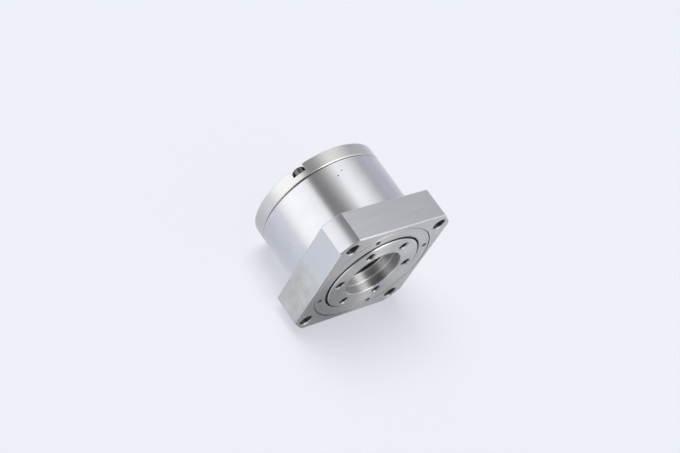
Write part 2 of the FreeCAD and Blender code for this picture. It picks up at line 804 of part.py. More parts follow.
def make_output_flange():
    """Output disc with the inner V track on its rim, a pilot bore and a ring of threaded holes."""
    body = new_body("OutputFlange")
    race_front = f"({HUB_DEPTH} - ring_thick - race_inset)"
    track = f"({HUB_DEPTH} - {SPLIT_DEPTH})"
    slope = f"({INNER_RACE_R} - {INNER_APEX_R})"
    top = DISC_LENGTH
    pilot_floor = f"({top} - pilot_depth)"
    throat_floor = f"({pilot_floor} - throat_depth)"
    outline = [
        (PLUG_R, ZERO),
        (BOSS_R, ZERO),
        (BOSS_R, "hub_height"),
        (INNER_RACE_R, "hub_height"),
        (INNER_RACE_R, f"{track} - {slope}"),
        (INNER_APEX_R, track),
        (INNER_RACE_R, f"{track} + {slope}"),
        (INNER_RACE_R, race_front),
        (DISC_R, race_front),
        (DISC_R, f"{top} - mouth_break"),
        (f"{DISC_R} - mouth_break", top),
        (f"{PILOT_R} + fine_break", top),
        (PILOT_R, f"{top} - fine_break"),
        (PILOT_R, pilot_floor),
        (THROAT_R, pilot_floor),
        (THROAT_R, throat_floor),
        (PLUG_R, throat_floor),
    ]
    revolve(body, "Disc", outline)
    holes(body, "OutputThreads", "out_thread_dia", OUT_THREAD_R, "out_thread_depth", OUTPUT_HOLES,
          "out_angle", top)
    grip = "(cup_screw_length - clamp_thick - boss_thick + tip_room)"
    holes(body, "CupThreads", "cup_screw_dia", CUP_SCREW_R, grip, CUP_SCREWS, CUP_SCREW_ANGLE, up=True)
    break_edges(body, "ThreadMouths", "mouth_break", rim_of("out_thread_dia", top))
    return seat(body, "output_flange", HUB_DEPTH)


def make_bore_plug():
    """Rubber end cap that closes the bore behind the pilot: a web with a skirt behind it."""
    body = new_body("BorePlug")
    rim_r = f"({PLUG_R} - fit)"
    skirt_r = f"({rim_r} - plug_web)"
    web_foot = "(plug_thick - plug_web)"
    outline = [
        (ZERO, web_foot),
        (skirt_r, web_foot),
        (skirt_r, ZERO),
        (rim_r, ZERO),
        (rim_r, "plug_thick - fine_break"),
        (f"{rim_r} - fine_break", "plug_thick"),
        (ZERO, "plug_thick"),
    ]
    revolve(body, "Cap", outline)
    return seat(body, "bore_plug", PLUG_DEPTH)


def make_flexspline():
    """Thin steel cup, pushed oval at its toothed open end, with a bolted boss at its base."""
    base = new_body("CupBase")
    diaphragm_top = f"({CUP_LENGTH} - diaphragm_set)"
    diaphragm_foot = f"({diaphragm_top} - diaphragm_thick)"
    outline = [
        (PLUG_R, f"{CUP_LENGTH} - boss_thick"),
        (BOSS_R, f"{CUP_LENGTH} - boss_thick"),
        (BOSS_R, diaphragm_foot),
        (CUP_WALL_R, diaphragm_foot),
        (CUP_WALL_R, diaphragm_top),
        (BOSS_R, diaphragm_top),
        (BOSS_R, CUP_LENGTH),
        (PLUG_R, CUP_LENGTH),
    ]
    revolve(base, "BossAndDiaphragm", outline)
    clear = "(cup_screw_dia + 2 * screw_play)"
    holes(base, "CupScrewHoles", clear, CUP_SCREW_R, "boss_thick", CUP_SCREWS, CUP_SCREW_ANGLE, CUP_LENGTH)
    skin = loft("CupSkin", [oval("CupSkinFoot", CUP_WALL_R, "rim_length"),
                            circle("CupSkinTop", CUP_WALL_R, diaphragm_foot)])
    hollow = loft("CupHollow", [oval("CupHollowFoot", CUP_BORE_R, "rim_length"),
                                circle("CupHollowTop", CUP_BORE_R, diaphragm_foot)])
    width = "pi * tooth_module / 4 - flank_play"
    teeth = tooth_ring(FLEX_TEETH, WAVE, CUP_PITCH_R, "cup_dedendum", "addendum", width)
    rim = prism("ToothedRim", teeth, "rim_length", ZERO)
    rim_bore = oval_solid("RimBore", [(CUP_BORE_R, ZERO), (CUP_BORE_R, "rim_length")])
    cup = fuse("Flexspline", [base, cut("CupTube", skin, hollow), cut("CupRim", rim, rim_bore)])
    return seat(cup, "flexspline", CUP_END)


def make_clamp_ring():
    """Ring that spreads the load of the screws over the cup's boss."""
    body = new_body("CupClampRing")
    inner = PLUG_R
    outer = f"({BOSS_R} - fine_break)"
    outline = [
        (inner, ZERO),
        (f"{outer} - fine_break", ZERO),
        (outer, "fine_break"),
        (outer, "clamp_thick"),
        (inner, "clamp_thick"),
    ]
    revolve(body, "Ring", outline)
    clear = "(cup_screw_dia + 2 * screw_play)"
    thick = "clamp_thick"
    holes(body, "CupScrewHoles", clear, CUP_SCREW_R, thick, CUP_SCREWS, CUP_SCREW_ANGLE, thick)
    return seat(body, "cup_clamp_ring", CLAMP_DEPTH)


# Fasteners


def hexagon(sketch, across_flats):
    """A regular hexagon about the origin, for a screw's socket."""
    reach = f"({across_flats} / sqrt(3))"
    corners = []
    for corner in range(HEX_SIDES):
        turn = FULL_TURN / HEX_SIDES * corner
        corners.append((f"{reach} * cos({turn} deg)", f"{reach} * sin({turn} deg)"))
    draw_outline(sketch, corners)


def cap_screw(name, kind):
    """One socket head screw, head down, its shank the thread's outer size less the clearance."""
    body = new_body(name)
    shank_r = f"({kind}_dia / 2 - thread_play)"
    head_r = f"({kind}_head / 2)"
    top = f"({kind}_height + {kind}_length)"
    outline = [
        (ZERO, ZERO),
        (f"{head_r} - fine_break", ZERO),
        (head_r, "fine_break"),
        (head_r, f"{kind}_height"),
        (shank_r, f"{kind}_height"),
        (shank_r, f"{top} - fine_break"),
        (f"{shank_r} - fine_break", top),
        (ZERO, top),
    ]
    revolve(body, f"{name}Turned", outline)

    def socket(sketch):
        hexagon(sketch, f"{kind}_socket")

    pocket(body, f"{name}Socket", socket, f"{kind}_height / 2", up=True)
    return body


def ring_of_copies(name, pattern, radius, count, turn):
    """Copies of one finished fastener, evenly round the axis."""
    copies = []
    for number in range(count):
        place = FreeCAD.Rotation(Z_AXIS, value(turn) + FULL_TURN * number / count)
        copy = pattern.Shape.copy()
        copy.Placement = FreeCAD.Placement(place.multVec(X_AXIS * value(radius)), place)
        copies.append(copy)
    group = doc.addObject("Part::Feature", name)
    group.Shape = Part.makeCompound(copies)
    return group


def make_screws():
    """Screws of the cup, of the fixed ring and of the wave generator's hub."""
    cup_screw = cap_screw("CupScrew", "cup_screw")
    group = ring_of_copies("CupScrews", cup_screw, CUP_SCREW_R, CUP_SCREWS, CUP_SCREW_ANGLE)
    seat(group, "cup_screws", f"{CLAMP_DEPTH} + cup_screw_height")
    end_screw = cap_screw("EndScrew", "end_screw")
    group = ring_of_copies("EndScrews", end_screw, END_SCREW_R, END_SCREWS, DIAGONAL)
    seat(group, "end_ring_screws", f"{POCKET_FLOOR} + end_screw_height")
    hub_screw = cap_screw("HubScrew", "hub_screw")
    group = ring_of_copies("HubScrews", hub_screw, HUB_SCREW_R, HUB_SCREWS, DIAGONAL)
    seat(group, "hub_screws", f"{WAVE_DEPTH} + hub_screw_height")


def make_dowels():
    """Two pins that line the fixed ring up with the barrel."""
    pins = []
    for number in range(DOWELS):
        pin = cylinder(f"Dowel{number}", "dowel_dia / 2 - fit", "dowel_length", ZERO)
        put_round(pin, END_SCREW_R, value(DOWEL_ANGLE) + FULL_TURN * number / DOWELS)
        pins.append(pin)
    return seat(compound("Dowels", pins), "end_ring_dowels", "body_length + dowel_length / 2")


# Wave generator


def make_wave_bearing():
    """Thin ball bearing bent oval by the cam: two races with tracks, balls and a cage."""
    low = "((wave_width - track_width) / 2)"
    middle = "(wave_width / 2)"
    high = "((wave_width + track_width) / 2)"
    past = f"(wave_width + {REACH})"
    outer = oval_solid("OuterRaceBlank", [(OUTER_OVAL_R, ZERO), (OUTER_OVAL_R, "wave_width")])
    outer_bore = oval_solid("OuterRaceBore", [
        (OUTER_LAND_R, f"-{REACH}"),
        (OUTER_LAND_R, low),
        (OUTER_TRACK_R, middle),
        (OUTER_LAND_R, high),
        (OUTER_LAND_R, past),
    ])
    seat(cut("WaveBearingOuterRace", outer, outer_bore), "wave_bearing_outer_race", WAVE_DEPTH)
    inner = oval_solid("InnerRaceBlank", [
        (INNER_LAND_R, ZERO),
        (INNER_LAND_R, low),
        (INNER_TRACK_R, middle),
        (INNER_LAND_R, high),
        (INNER_LAND_R, "wave_width"),
    ])
    inner_bore = oval_solid("InnerRaceBore", [(INNER_OVAL_R, f"-{REACH}"), (INNER_OVAL_R, past)])
    seat(cut("WaveBearingInnerRace", inner, inner_bore), "wave_bearing_inner_race", WAVE_DEPTH)
    balls = []
    windows = []
    cage_out = f"({BALL_PITCH_R} + cage_thick / 2)"
    cage_in = f"({BALL_PITCH_R} - cage_thick / 2)"
    for number in range(BALLS):
        angle = FULL_TURN * number / BALLS
        radius = f"({BALL_PITCH_R} + {WAVE} * cos({2 * angle} deg))"
        ball = doc.addObject("Part::Sphere", f"Ball{number}")
        bind(ball, "Radius", "ball_dia / 2")
        put_round(ball, radius, angle)
        bind(ball, "Placement.Base.z", middle)
        balls.append(ball)
        window = cylinder(f"Window{number}", "ball_dia / 2 + cage_play", f"{cage_out} + {REACH}", middle)
        outwards = FreeCAD.Rotation(Z_AXIS, angle).multiply(FreeCAD.Rotation(Y_AXIS, QUARTER))
        window.Placement.Rotation = outwards
        windows.append(window)
    seat(compound("WaveBearingBalls", balls), "wave_bearing_balls", WAVE_DEPTH)
    foot = "cage_inset"
    top = "(wave_width - cage_inset)"
    ring = oval_solid("CageBlank", [(cage_out, foot), (cage_out, top)])
    ring_bore = oval_solid("CageBore", [(cage_in, f"-{REACH}"), (cage_in, past)])
    hoop = cut("CageHoop", ring, ring_bore)
    cage = cut("WaveBearingCage", hoop, compound("CageWindows", windows))
    seat(cage, "wave_bearing_cage", WAVE_DEPTH)


def make_cam():
    """Oval plug that bends the bearing, recessed behind for the hub's flange."""
    blank = oval_solid("CamBlank", [(CAM_R, ZERO), (CAM_R, "wave_width")])
    tools = [
        cylinder("CamRecess", f"{HUB_FLANGE_R} + slip", f"hub_flange + {REACH}", f"-{REACH}"),
        cylinder("CamBore", f"{HUB_R} + slip", f"wave_width + 2 * {REACH}", f"-{REACH}"),
    ]
    for number in range(HUB_SCREWS):
        thread = cylinder(f"CamThread{number}", "hub_screw_dia / 2", f"wave_width + {REACH}", ZERO)
        put_round(thread, HUB_SCREW_R, value(DIAGONAL) + FULL_TURN * number / HUB_SCREWS)
        tools.append(thread)
    return seat(cut("WaveGeneratorCam", blank, fuse("CamCuts", tools)), "wave_generator_cam", WAVE_DEPTH)


def make_hub():
    """Hub for the motor shaft: spigot in the cam, screwed flange, and a collar with two grub screws."""
    body = new_body("WaveGeneratorHub")
    flange_top = f"({COLLAR_LENGTH} + hub_flange)"
    outline = [
        (f"{INPUT_R} + fine_break", ZERO),
        (f"{COLLAR_R} - fine_break", ZERO),
        (COLLAR_R, "fine_break"),
        (COLLAR_R, COLLAR_LENGTH),
        (HUB_FLANGE_R, COLLAR_LENGTH),
        (HUB_FLANGE_R, flange_top),
        (HUB_R, flange_top),
        (HUB_R, HUB_LENGTH),
        (INPUT_R, HUB_LENGTH),
        (INPUT_R, "fine_break"),
    ]
    revolve(body, "Hub", outline)
    clear = "(hub_screw_dia + 2 * screw_play)"
    holes(body, "HubScrewHoles", clear, HUB_SCREW_R, flange_top, HUB_SCREWS, DIAGONAL, up=True)

    def grub_hole(sketch):
        draw_circle(sketch, "grub_dia", up=f"{COLLAR_LENGTH} / 2")

    first = pocket(body, "GrubHoles", grub_hole, f"{COLLAR_R} + {REACH}", role="XZ_Plane")
    repeat(body, first, GRUB_SCREWS, QUARTER)
    return seat(body, "wave_generator_hub", f"{BACK_DEPTH} - collar_inset")


def make_grub_screws():
    """Two socket grub screws in the collar, a quarter turn apart, their ends at the bore."""
    body = new_body("GrubScrew")
    radius = "(grub_dia / 2 - thread_play)"
    point = f"({radius} - fine_break)"
    outline = [
        (ZERO, ZERO),
        (point, ZERO),
        (radius, "fine_break"),
        (radius, "grub_length"),
        (ZERO, "grub_length"),
    ]
    revolve(body, "GrubTurned", outline)

    def socket(sketch):
        hexagon(sketch, "grub_socket")

    pocket(body, "GrubSocket", socket, "grub_length / 2", "grub_length")
    copies = []
    for number in range(GRUB_SCREWS):
        outwards = FreeCAD.Rotation(Z_AXIS, QUARTER * number).multiply(FreeCAD.Rotation(X_AXIS, -QUARTER))
        start = outwards.multVec(Z_AXIS * value(f"{INPUT_R} + fit"))
        copy = body.Shape.copy()
        copy.Placement = FreeCAD.Placement(start + Z_AXIS * value(f"{COLLAR_LENGTH} / 2"), outwards)
        copies.append(copy)
    group = doc.addObject("Part::Feature", "GrubScrews")
    group.Shape = Part.makeCompound(copies)
    return seat(group, "hub_grub_screws", f"{BACK_DEPTH} - collar_inset")


def check_and_write():
    """Refuse a failed object or a bad shape, then write one file for each piece."""
    doc.recompute()
    for item in doc.Objects:
        if "Invalid" in item.State or "Error" in item.State:
            raise RuntimeError(f"{item.Name} failed: {item.State}")
    for label, piece in nodes.items():
        shape = piece.Shape
        if shape.isNull() or not shape.isValid() or not shape.Solids:
            raise RuntimeError(f"{label} has no sound shape")
    os.makedirs("parts", exist_ok=True)
    for label, piece in nodes.items():
        piece.Shape.exportStep(f"parts/{label}.step")
        print(f"{label}: {len(piece.Shape.Solids)} solids, {piece.Shape.Volume:.1f} mm3")


def main():
    fill_sheet()
    make_housing()
    make_retainer_ring()
    make_output_seal()
    make_bearing_rings()
    make_rolling_pieces()
    make_output_flange()
    make_bore_plug()
    make_flexspline()
    make_clamp_ring()
    make_circular_spline()
    make_spline_seal()
    make_screws()
    make_dowels()
    make_wave_bearing()
    make_cam()
    make_hub()
    make_grub_screws()
    check_and_write()


main()
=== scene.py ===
"""Finishes a small strain wave gearbox in steel, rubber and nylon, and sets it on a pale table."""

import json
import math

import bmesh
import bpy
from bpy.props import FloatProperty, FloatVectorProperty, IntProperty, PointerProperty
from mathutils import Matrix, Vector


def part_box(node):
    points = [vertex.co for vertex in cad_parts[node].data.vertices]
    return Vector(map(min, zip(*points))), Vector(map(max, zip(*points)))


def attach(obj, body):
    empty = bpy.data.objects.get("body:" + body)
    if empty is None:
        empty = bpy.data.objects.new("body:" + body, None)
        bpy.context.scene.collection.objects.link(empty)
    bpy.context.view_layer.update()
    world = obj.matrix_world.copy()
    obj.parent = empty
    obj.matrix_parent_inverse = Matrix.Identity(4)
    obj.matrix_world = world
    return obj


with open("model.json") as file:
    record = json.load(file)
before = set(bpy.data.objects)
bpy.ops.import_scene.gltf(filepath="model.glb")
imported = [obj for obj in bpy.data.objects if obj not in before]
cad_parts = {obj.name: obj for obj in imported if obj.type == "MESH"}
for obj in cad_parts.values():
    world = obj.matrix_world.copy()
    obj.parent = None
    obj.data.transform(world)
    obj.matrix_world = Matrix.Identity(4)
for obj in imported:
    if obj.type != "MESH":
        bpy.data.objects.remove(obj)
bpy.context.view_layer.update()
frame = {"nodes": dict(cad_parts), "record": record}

bl_info = {
    "name": "Strain Wave Gearbox Finish",
    "version": (1, 0, 0),
    "blender": (4, 5, 0),
    "location": "View3D > Sidebar > Gearbox",
    "description": "Finishes a small gearbox in steel, rubber and nylon and lights it on a pale table",
    "category": "Object",
}

MM = 0.001
IN_MM = 1 / MM
FULL_TURN = 2 * math.pi
HALF_TURN_DEGREES = 180

# The gearbox's axis is Y: the output disc looks along -Y and the motor side along +Y
AXIS = Vector((0, 1, 0))
MOUNTS = {mount["name"]: mount["dims"] for mount in frame["record"]["mounts"]}


def low_corner(node):
    """The lowest corner of a piece, in millimetres."""
    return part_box(node)[0] * IN_MM


def high_corner(node):
    """The highest corner of a piece, in millimetres."""
    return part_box(node)[1] * IN_MM


def mount_ring(mount, first_degrees):
    """A mount's ring of holes."""
    dims = MOUNTS[mount]
    return dims["pcd_mm"] / 2, dims["hole_r_mm"], dims["count"], math.radians(first_degrees)


# Places on the gearbox, in millimetres
FLANGE_HALF = high_corner("housing").x
FLANGE_BACK = 11.8
SEAM = high_corner("housing").y
BACK = high_corner("circular_spline").y
BARREL_RADIUS = high_corner("circular_spline").x
RING_RADIUS = high_corner("retainer_ring").x
DISC_RADIUS = 18.25
DISC_FACE = low_corner("output_flange").y
PILOT_RADIUS = MOUNTS["output_pilot"]["r_mm"]
PILOT_DEPTH = 3.33
PILOT_FLOOR = DISC_FACE + PILOT_DEPTH
THROAT_STEP = 0.65
THROAT_RADIUS = PILOT_RADIUS - THROAT_STEP
PLUG_SET = 0.4
THROAT_FLOOR = low_corner("bore_plug").y - PLUG_SET

# Widths of edges, gaps and seams, in millimetres
EDGE_BREAK = 0.4
MOUTH_BREAK = 0.4
SPANNER_BREAK = 0.3
SEAM_BREAK = 0.35
SEAM_LINE = 0.45
GROOVE_DEPTH = 0.2
FIT_GAP = 0.1
THROAT_LIP = 0.45
END_RING_RIM = 0.5

# How near a face or a hole's wall a point counts as on it, in millimetres
SKIN = 0.02
HOLE_SKIN = 0.03

# Pits, stains, and where the flange's sides turn lighter towards the top, on the housing, in millimetres
BARREL_PITS = ((-6.49, 28.21, 23.47), (-8.55, 27.01, 22.80))
PIT_RADIUS = 0.28
STAIN_REACH = 9.0
STAIN_TOP = 3.0
UPPER_EDGE_WOBBLE = 6.0
LIGHTER_UPPER_FROM = -6.0
LIGHTER_UPPER_TO = 4.0

# Specks come where noise is over a limit, and keep a share of the plain colour
SPECK_LIMIT = 0.70
SPECK_SHADE = 0.62

# The part of its range that noise mostly keeps to
NOISE_RANGE = (0.3, 0.7)

# A quarter turn of the lay, in whole turns
QUARTER = 0.25

# A thread's root as a share of the hole's radius, and half of its width there as a share of the pitch
THREAD_ROOT = 1.01
THREAD_FLANK = 0.42

# Rings of holes: the ring's radius, a hole's radius, how many, and the first one's angle from +X towards +Z
FLANGE_HOLES = mount_ring("flange_holes", 45)
OUTPUT_HOLES = mount_ring("output_threads", 3.5)
MOTOR_HOLES = mount_ring("motor_threads", 0)
SPANNER_HOLES = (21.29, 0.7, 4, math.radians(23.8))


# Settings


def colour_setting(name, colour, description):
    """A colour that the user can change."""
    return FloatVectorProperty(
        name=name, description=description, subtype="COLOR", size=3, min=0.0, max=1.0, default=colour)


def share_setting(name, share, description):
    """A number from nothing to one."""
    return FloatProperty(
        name=name, description=description, subtype="FACTOR", min=0.0, max=1.0, default=share)


def length_setting(name, metres, description):
    """A length in metres."""
    return FloatProperty(
        name=name, description=description, subtype="DISTANCE", unit="LENGTH", precision=5, default=metres)


def angle_setting(name, degrees, description):
    """An angle, given in degrees and kept in radians."""
    return FloatProperty(
        name=name, description=description, subtype="ANGLE", unit="ROTATION", default=math.radians(degrees))


class GearboxSteel(bpy.types.PropertyGroup):
    """Colours, roughness and lay of the steel finishes. Rough steel blurs what it mirrors."""

    ground: colour_setting("Ground barrel", (0.695, 0.70, 0.73), "Ground outside of barrel and corners")
    end_ring: colour_setting("End ring", (0.675, 0.672, 0.665), "Turned outside of the end ring")
    milled: colour_setting("Milled sides", (0.53, 0.54, 0.563), "Upper and lower sides of the flange")
    # Stains, and painted light: the left and right sides are painted lighter than the top and bottom for
    # the light that falls on them
    stained_and_lit: colour_setting("Stained sides", (0.65, 0.644, 0.63), "Left and right sides of the flange")
    # The upper part of the left and right sides, lighter and bluer
    lighter_upper: colour_setting("Wiped sides", (0.725, 0.735, 0.76), "The cleaner upper part of those sides")
    flange_face: colour_setting("Flange face", (0.54, 0.535, 0.533), "Turned front of the flange")
    ring_face: colour_setting("Ring face", (0.54, 0.535, 0.53), "Turned front of the retaining ring")
    disc_face: colour_setting("Disc face", (0.56, 0.555, 0.55), "Turned front of the output disc")
    pilot: colour_setting("Pilot bore", (0.62, 0.615, 0.615), "Wall of the output bore's wide front")
    # Painted light: the deep wall of the bore is lighter than the other steel, so that it looks lit inside
    bore: colour_setting("Bore", (0.85, 0.845, 0.84), "Wall of the rest of the output bore")
    edge: colour_setting("Broken edges", (0.72, 0.72, 0.715), "Chamfers, cut last and left bright")
    mouth: colour_setting("Hole mouths", (0.50, 0.495, 0.49), "Broken edges that have dulled")
    # Painted shade: this dark colour paints the shade in drilled and tapped holes, grooves, the gaps round
    # the ring and the disc, the seam and the bore's floor. It also colours two small pits in the barrel
    hole: colour_setting("Hole walls", (0.14, 0.14, 0.145), "Drilled walls, dark with cutting oil")
    # Painted shade: the threads are painted dark for the shade inside the tapped holes
    thread: colour_setting("Threads", (0.10, 0.10, 0.102), "Tapped threads, dark with cutting oil")
    bearing: colour_setting("Bearing rings", (0.66, 0.66, 0.67), "Hardened rings, rollers and races")
    ball: colour_setting("Balls", (0.80, 0.80, 0.81), "Polished balls")
    cup: colour_setting("Flexible cup", (0.55, 0.545, 0.53), "Fine turned spring steel")
    cam: colour_setting("Cam", (0.46, 0.46, 0.47), "Milled oval plug")
    hub: colour_setting("Hub", (0.60, 0.60, 0.61), "Turned hub for the motor shaft")
    ground_roughness: share_setting("Ground roughness", 0.30, "Roughness of barrel, corners and edges")
    milled_roughness: share_setting("Milled roughness", 0.46, "Roughness of the flange's sides")
    turned_roughness: share_setting("Turned roughness", 0.42, "Roughness of a turned face")
    disc_roughness: share_setting("Disc roughness", 0.36, "Roughness of the output disc's front")
    bore_roughness: share_setting("Bore roughness", 0.53, "Roughness of the output bore's wall")
    end_ring_roughness: share_setting("End ring roughness", 0.29, "Roughness of the end ring's outside")
    hole_roughness: share_setting("Hole roughness", 0.6, "Roughness of a drilled wall")
    race_roughness: share_setting("Race roughness", 0.22, "Roughness of the wave bearing's races")
    bearing_roughness: share_setting("Bearing roughness", 0.16, "Roughness of hardened rings and rollers")
    ball_roughness: share_setting("Ball roughness", 0.06, "Roughness of the balls")
    lay: share_setting("Lay", 0.8, "How much more steel blurs across its tool marks than along them")
    end_ring_lay: share_setting("End ring lay", 0.2, "The same for the end ring, whose marks are finer")
    disc_lay: share_setting("Disc lay", 0.96, "The same for the output disc, whose marks are coarser")
    inner_lay: share_setting("Inner lay", 0.6, "The same for the turned pieces inside")


class GearboxTrim(bpy.types.PropertyGroup):
    """Colours and roughness of what isn't bare steel."""

    oxide: colour_setting("Black oxide", (0.13, 0.13, 0.137), "Blackened screws")
    worn: colour_setting("Worn oxide", (0.26, 0.255, 0.25), "Where the black has worn thin")
    rubber: colour_setting("Rubber", (0.03, 0.03, 0.033), "Seals and the plug in the bore")
    nylon: colour_setting("Nylon", (0.72, 0.66, 0.52), "Bearing cage and spacers")
    rubber_roughness: share_setting("Rubber roughness", 0.62, "Roughness of the rubber")
    spacer_roughness: share_setting("Spacer roughness", 0.45, "Roughness of the nylon spacers")
    cage_roughness: share_setting("Cage roughness", 0.42, "Roughness of the nylon cage")


class GearboxThreads(bpy.types.PropertyGroup):
    """Sizes of the threads in the tapped holes."""

    output_pitch: length_setting("Output pitch", 0.0007, "Pitch of the threads in the output disc")
    output_length: length_setting("Output length", 0.0056, "Length of the threads in the output disc")
    motor_pitch: length_setting("Motor pitch", 0.0005, "Pitch of the threads on the motor side")
    motor_length: length_setting("Motor length", 0.0034, "Length of the threads on the motor side")
    lead_in: length_setting("Lead in", 0.0011, "Plain depth before the first turn of a thread")
    ridge: length_setting("Ridge", 0.00013, "How far a turn stands out of the drilled wall")
    steps: IntProperty(name="Steps", description="Straight steps in one turn", min=8, default=28)


class GearboxStage(bpy.types.PropertyGroup):
    """The table, the light tent, the sun and the camera."""

    table: colour_setting("Table", (0.45, 0.456, 0.469), "Table top")
    background: colour_setting("Background", (0.847, 0.871, 0.93), "Pale background behind the table")
    glow: share_setting("Table glow", 0.5, "Share of the background in the table's own tone")
    ambient: share_setting("Ambient", 0.47, "Share of the background that lights the table")
    tent_radius: length_setting("Tent radius", 0.6, "Radius of the light tent")
    tent_level: FloatProperty(name="Tent level", description="Brightness of the cloth", default=1.0)
    sun_strength: FloatProperty(name="Sun strength", description="Light of the soft sun", default=1.85)
    sun_spread: angle_setting("Sun spread", 40, "How broad the soft sun is")
    azimuth: angle_setting("Azimuth", -59.126, "Where the camera stands round the upright axis")
    elevation: angle_setting("Elevation", 42.734, "How far the camera stands above the table")
    roll: angle_setting("Roll", 32.8, "How far the camera leans")
    distance: length_setting("Distance", 0.43, "From the camera to what it looks at")
    lens: FloatProperty(name="Lens", description="Focal length", subtype="DISTANCE_CAMERA", default=66.7)


# Wiring of a material


def opaque(colour):
    """A colour as a shader's socket takes it."""
    return (*colour, 1.0)


class Wiring:
    """A new material or world, and the calls that add shader nodes to it and join them."""

    def __init__(self, name, kind="materials"):
        self.owner = getattr(bpy.data, kind).new(name)
        self.owner.use_nodes = True
        self.tree = self.owner.node_tree
        self.tree.nodes.clear()

    def add(self, kind, inputs=None, **settings):
        """A node with its settings, each input joined to a socket or set to a value."""
        node = self.tree.nodes.new(kind)
        for name, setting in settings.items():
            setattr(node, name, setting)
        for key, source in (inputs or {}).items():
            if isinstance(source, bpy.types.NodeSocket):
                self.tree.links.new(source, node.inputs[key])
            else:
                node.inputs[key].default_value = source
        return node

    def here(self):
        """Where a point of the surface lies, in metres."""
        return self.add("ShaderNodeTexCoord").outputs["Object"]

    def parts(self, vector):
        """The three parts of a vector."""
        return self.add("ShaderNodeSeparateXYZ", {0: vector}).outputs

    def join(self, x, y, z):
        return self.add("ShaderNodeCombineXYZ", {0: x, 1: y, 2: z}).outputs[0]

    def vector(self, operation, first, second=(0.0, 0.0, 0.0)):
        return self.add("ShaderNodeVectorMath", {0: first, 1: second}, operation=operation)

    def calculate(self, operation, first, second=0.0, third=0.0):
        """One step of arithmetic."""
        inputs = {0: first, 1: second, 2: third}
        return self.add("ShaderNodeMath", inputs, operation=operation).outputs[0]

    def below(self, number, limit):
        return self.calculate("LESS_THAN", number, limit)

    def above(self, number, limit):
        return self.calculate("GREATER_THAN", number, limit)

    def between(self, number, low, high):
        return self.calculate("COMPARE", number, (low + high) / 2, (high - low) / 2)

    def both(self, first, second):
        return self.calculate("MULTIPLY", first, second)

    def either(self, first, second):
        return self.calculate("MAXIMUM", first, second)

    def blend(self, share, plain, other):
        """A number between two."""
        return self.add("ShaderNodeMix", {0: share, 2: plain, 3: other}, data_type="FLOAT").outputs[0]

    def tint(self, share, plain, other, mode="MIX"):
        """A colour between two."""
        inputs = {0: share, 6: plain, 7: other}
        return self.add("ShaderNodeMix", inputs, data_type="RGBA", blend_type=mode).outputs[2]

    def rescale(self, number, start, end, low=0.0, high=1.0):
        """A number that runs from low to high while another runs from start to end."""
        return self.add("ShaderNodeMapRange", {0: number, 1: start, 2: end, 3: low, 4: high}).outputs[0]

    def noise(self, place, size, detail=2.0, roughness=0.5):
        """Soft noise from nothing to one, with features of a size in millimetres."""
        return self.add("ShaderNodeTexNoise", {
            "Vector": place,
            "Scale": 1 / size,
            "Detail": detail,
            "Roughness": roughness,
        }).outputs[0]

    def spread(self, noise, low, high):
        """Noise stretched so that it runs from low to high."""
        return self.rescale(noise, *NOISE_RANGE, low, high)

    def mottle(self, colour, noise, low, high, zone=1.0):
        """A colour made lighter and darker by noise."""
        level = self.spread(noise, low, high)
        return self.tint(zone, colour, self.join(level, level, level), "MULTIPLY")

    def looked_at(self):
        """One where the camera, metal or glass looks, and nothing where a surface gathers light."""
        path = self.add("ShaderNodeLightPath").outputs
        looked = self.either(path["Is Camera Ray"], path["Is Glossy Ray"])
        return self.either(looked, path["Is Transmission Ray"])

    def bump(self, height, depth):
        """A relief that stands so many millimetres deep."""
        inputs = {"Strength": 1.0, "Distance": depth * MM, "Height": height}
        return self.add("ShaderNodeBump", inputs).outputs[0]

    def glow(self, colour, strength):
        return self.add("ShaderNodeEmission", {0: colour, 1: strength})

    def surface(self, shader):
        """The finished material, with a shader for its surface."""
        self.add("ShaderNodeOutputMaterial", {0: shader.outputs[0]})
        return self.owner


class Place:
    """Where a point of the surface lies on the gearbox, in millimetres."""

    def __init__(self, wires):
        scaled = wires.add("ShaderNodeVectorMath", {0: wires.here(), "Scale": IN_MM}, operation="SCALE")
        self.wires = wires
        self.point = scaled.outputs[0]
        self.x, self.y, self.z = wires.parts(self.point)
        across = wires.vector("MULTIPLY", self.point, (1.0, 0.0, 1.0)).outputs[0]
        self.radius = wires.vector("LENGTH", across).outputs["Value"]
        self.angle = wires.calculate("ARCTAN2", self.z, self.x)

    def round_marks(self, spacing, stretch=2.0):
        """Marks that run round the axis, as a turning or grinding tool leaves them."""
        wires = self.wires
        lay = wires.join(self.radius, self.y, wires.calculate("MULTIPLY", self.angle, stretch))
        return wires.noise(lay, spacing, detail=3.0, roughness=0.6)

    def straight_marks(self, spacing, stretch=0.04):
        """Marks along the flat sides of the flange, as a milling cutter leaves them."""
        lay = self.wires.vector("MULTIPLY", self.point, (stretch, 1.0, stretch)).outputs[0]
        return self.wires.noise(lay, spacing, detail=3.0, roughness=0.65)

    def in_holes(self, ring, extra=HOLE_SKIN):
        """One inside the holes of a ring of holes, and nothing elsewhere."""
        wires = self.wires
        ring_radius, hole_radius, count, first_angle = ring
        step = FULL_TURN / count
        turned = wires.calculate("SUBTRACT", self.angle, first_angle - step / 2)
        within = wires.calculate("SUBTRACT", wires.calculate("FLOORED_MODULO", turned, step), step / 2)
        across = wires.both(self.radius, wires.calculate("SINE", within))
        reach = wires.both(self.radius, wires.calculate("COSINE", within))
        outwards = wires.calculate("SUBTRACT", reach, ring_radius)
        away = wires.vector("LENGTH", wires.join(across, outwards, 0.0)).outputs["Value"]
        return wires.below(away, hole_radius + extra)

    def near(self, centre, reach):
        """One within reach of a point, and nothing elsewhere."""
        away = self.wires.vector("DISTANCE", self.point, centre).outputs["Value"]
        return self.wires.below(away, reach)


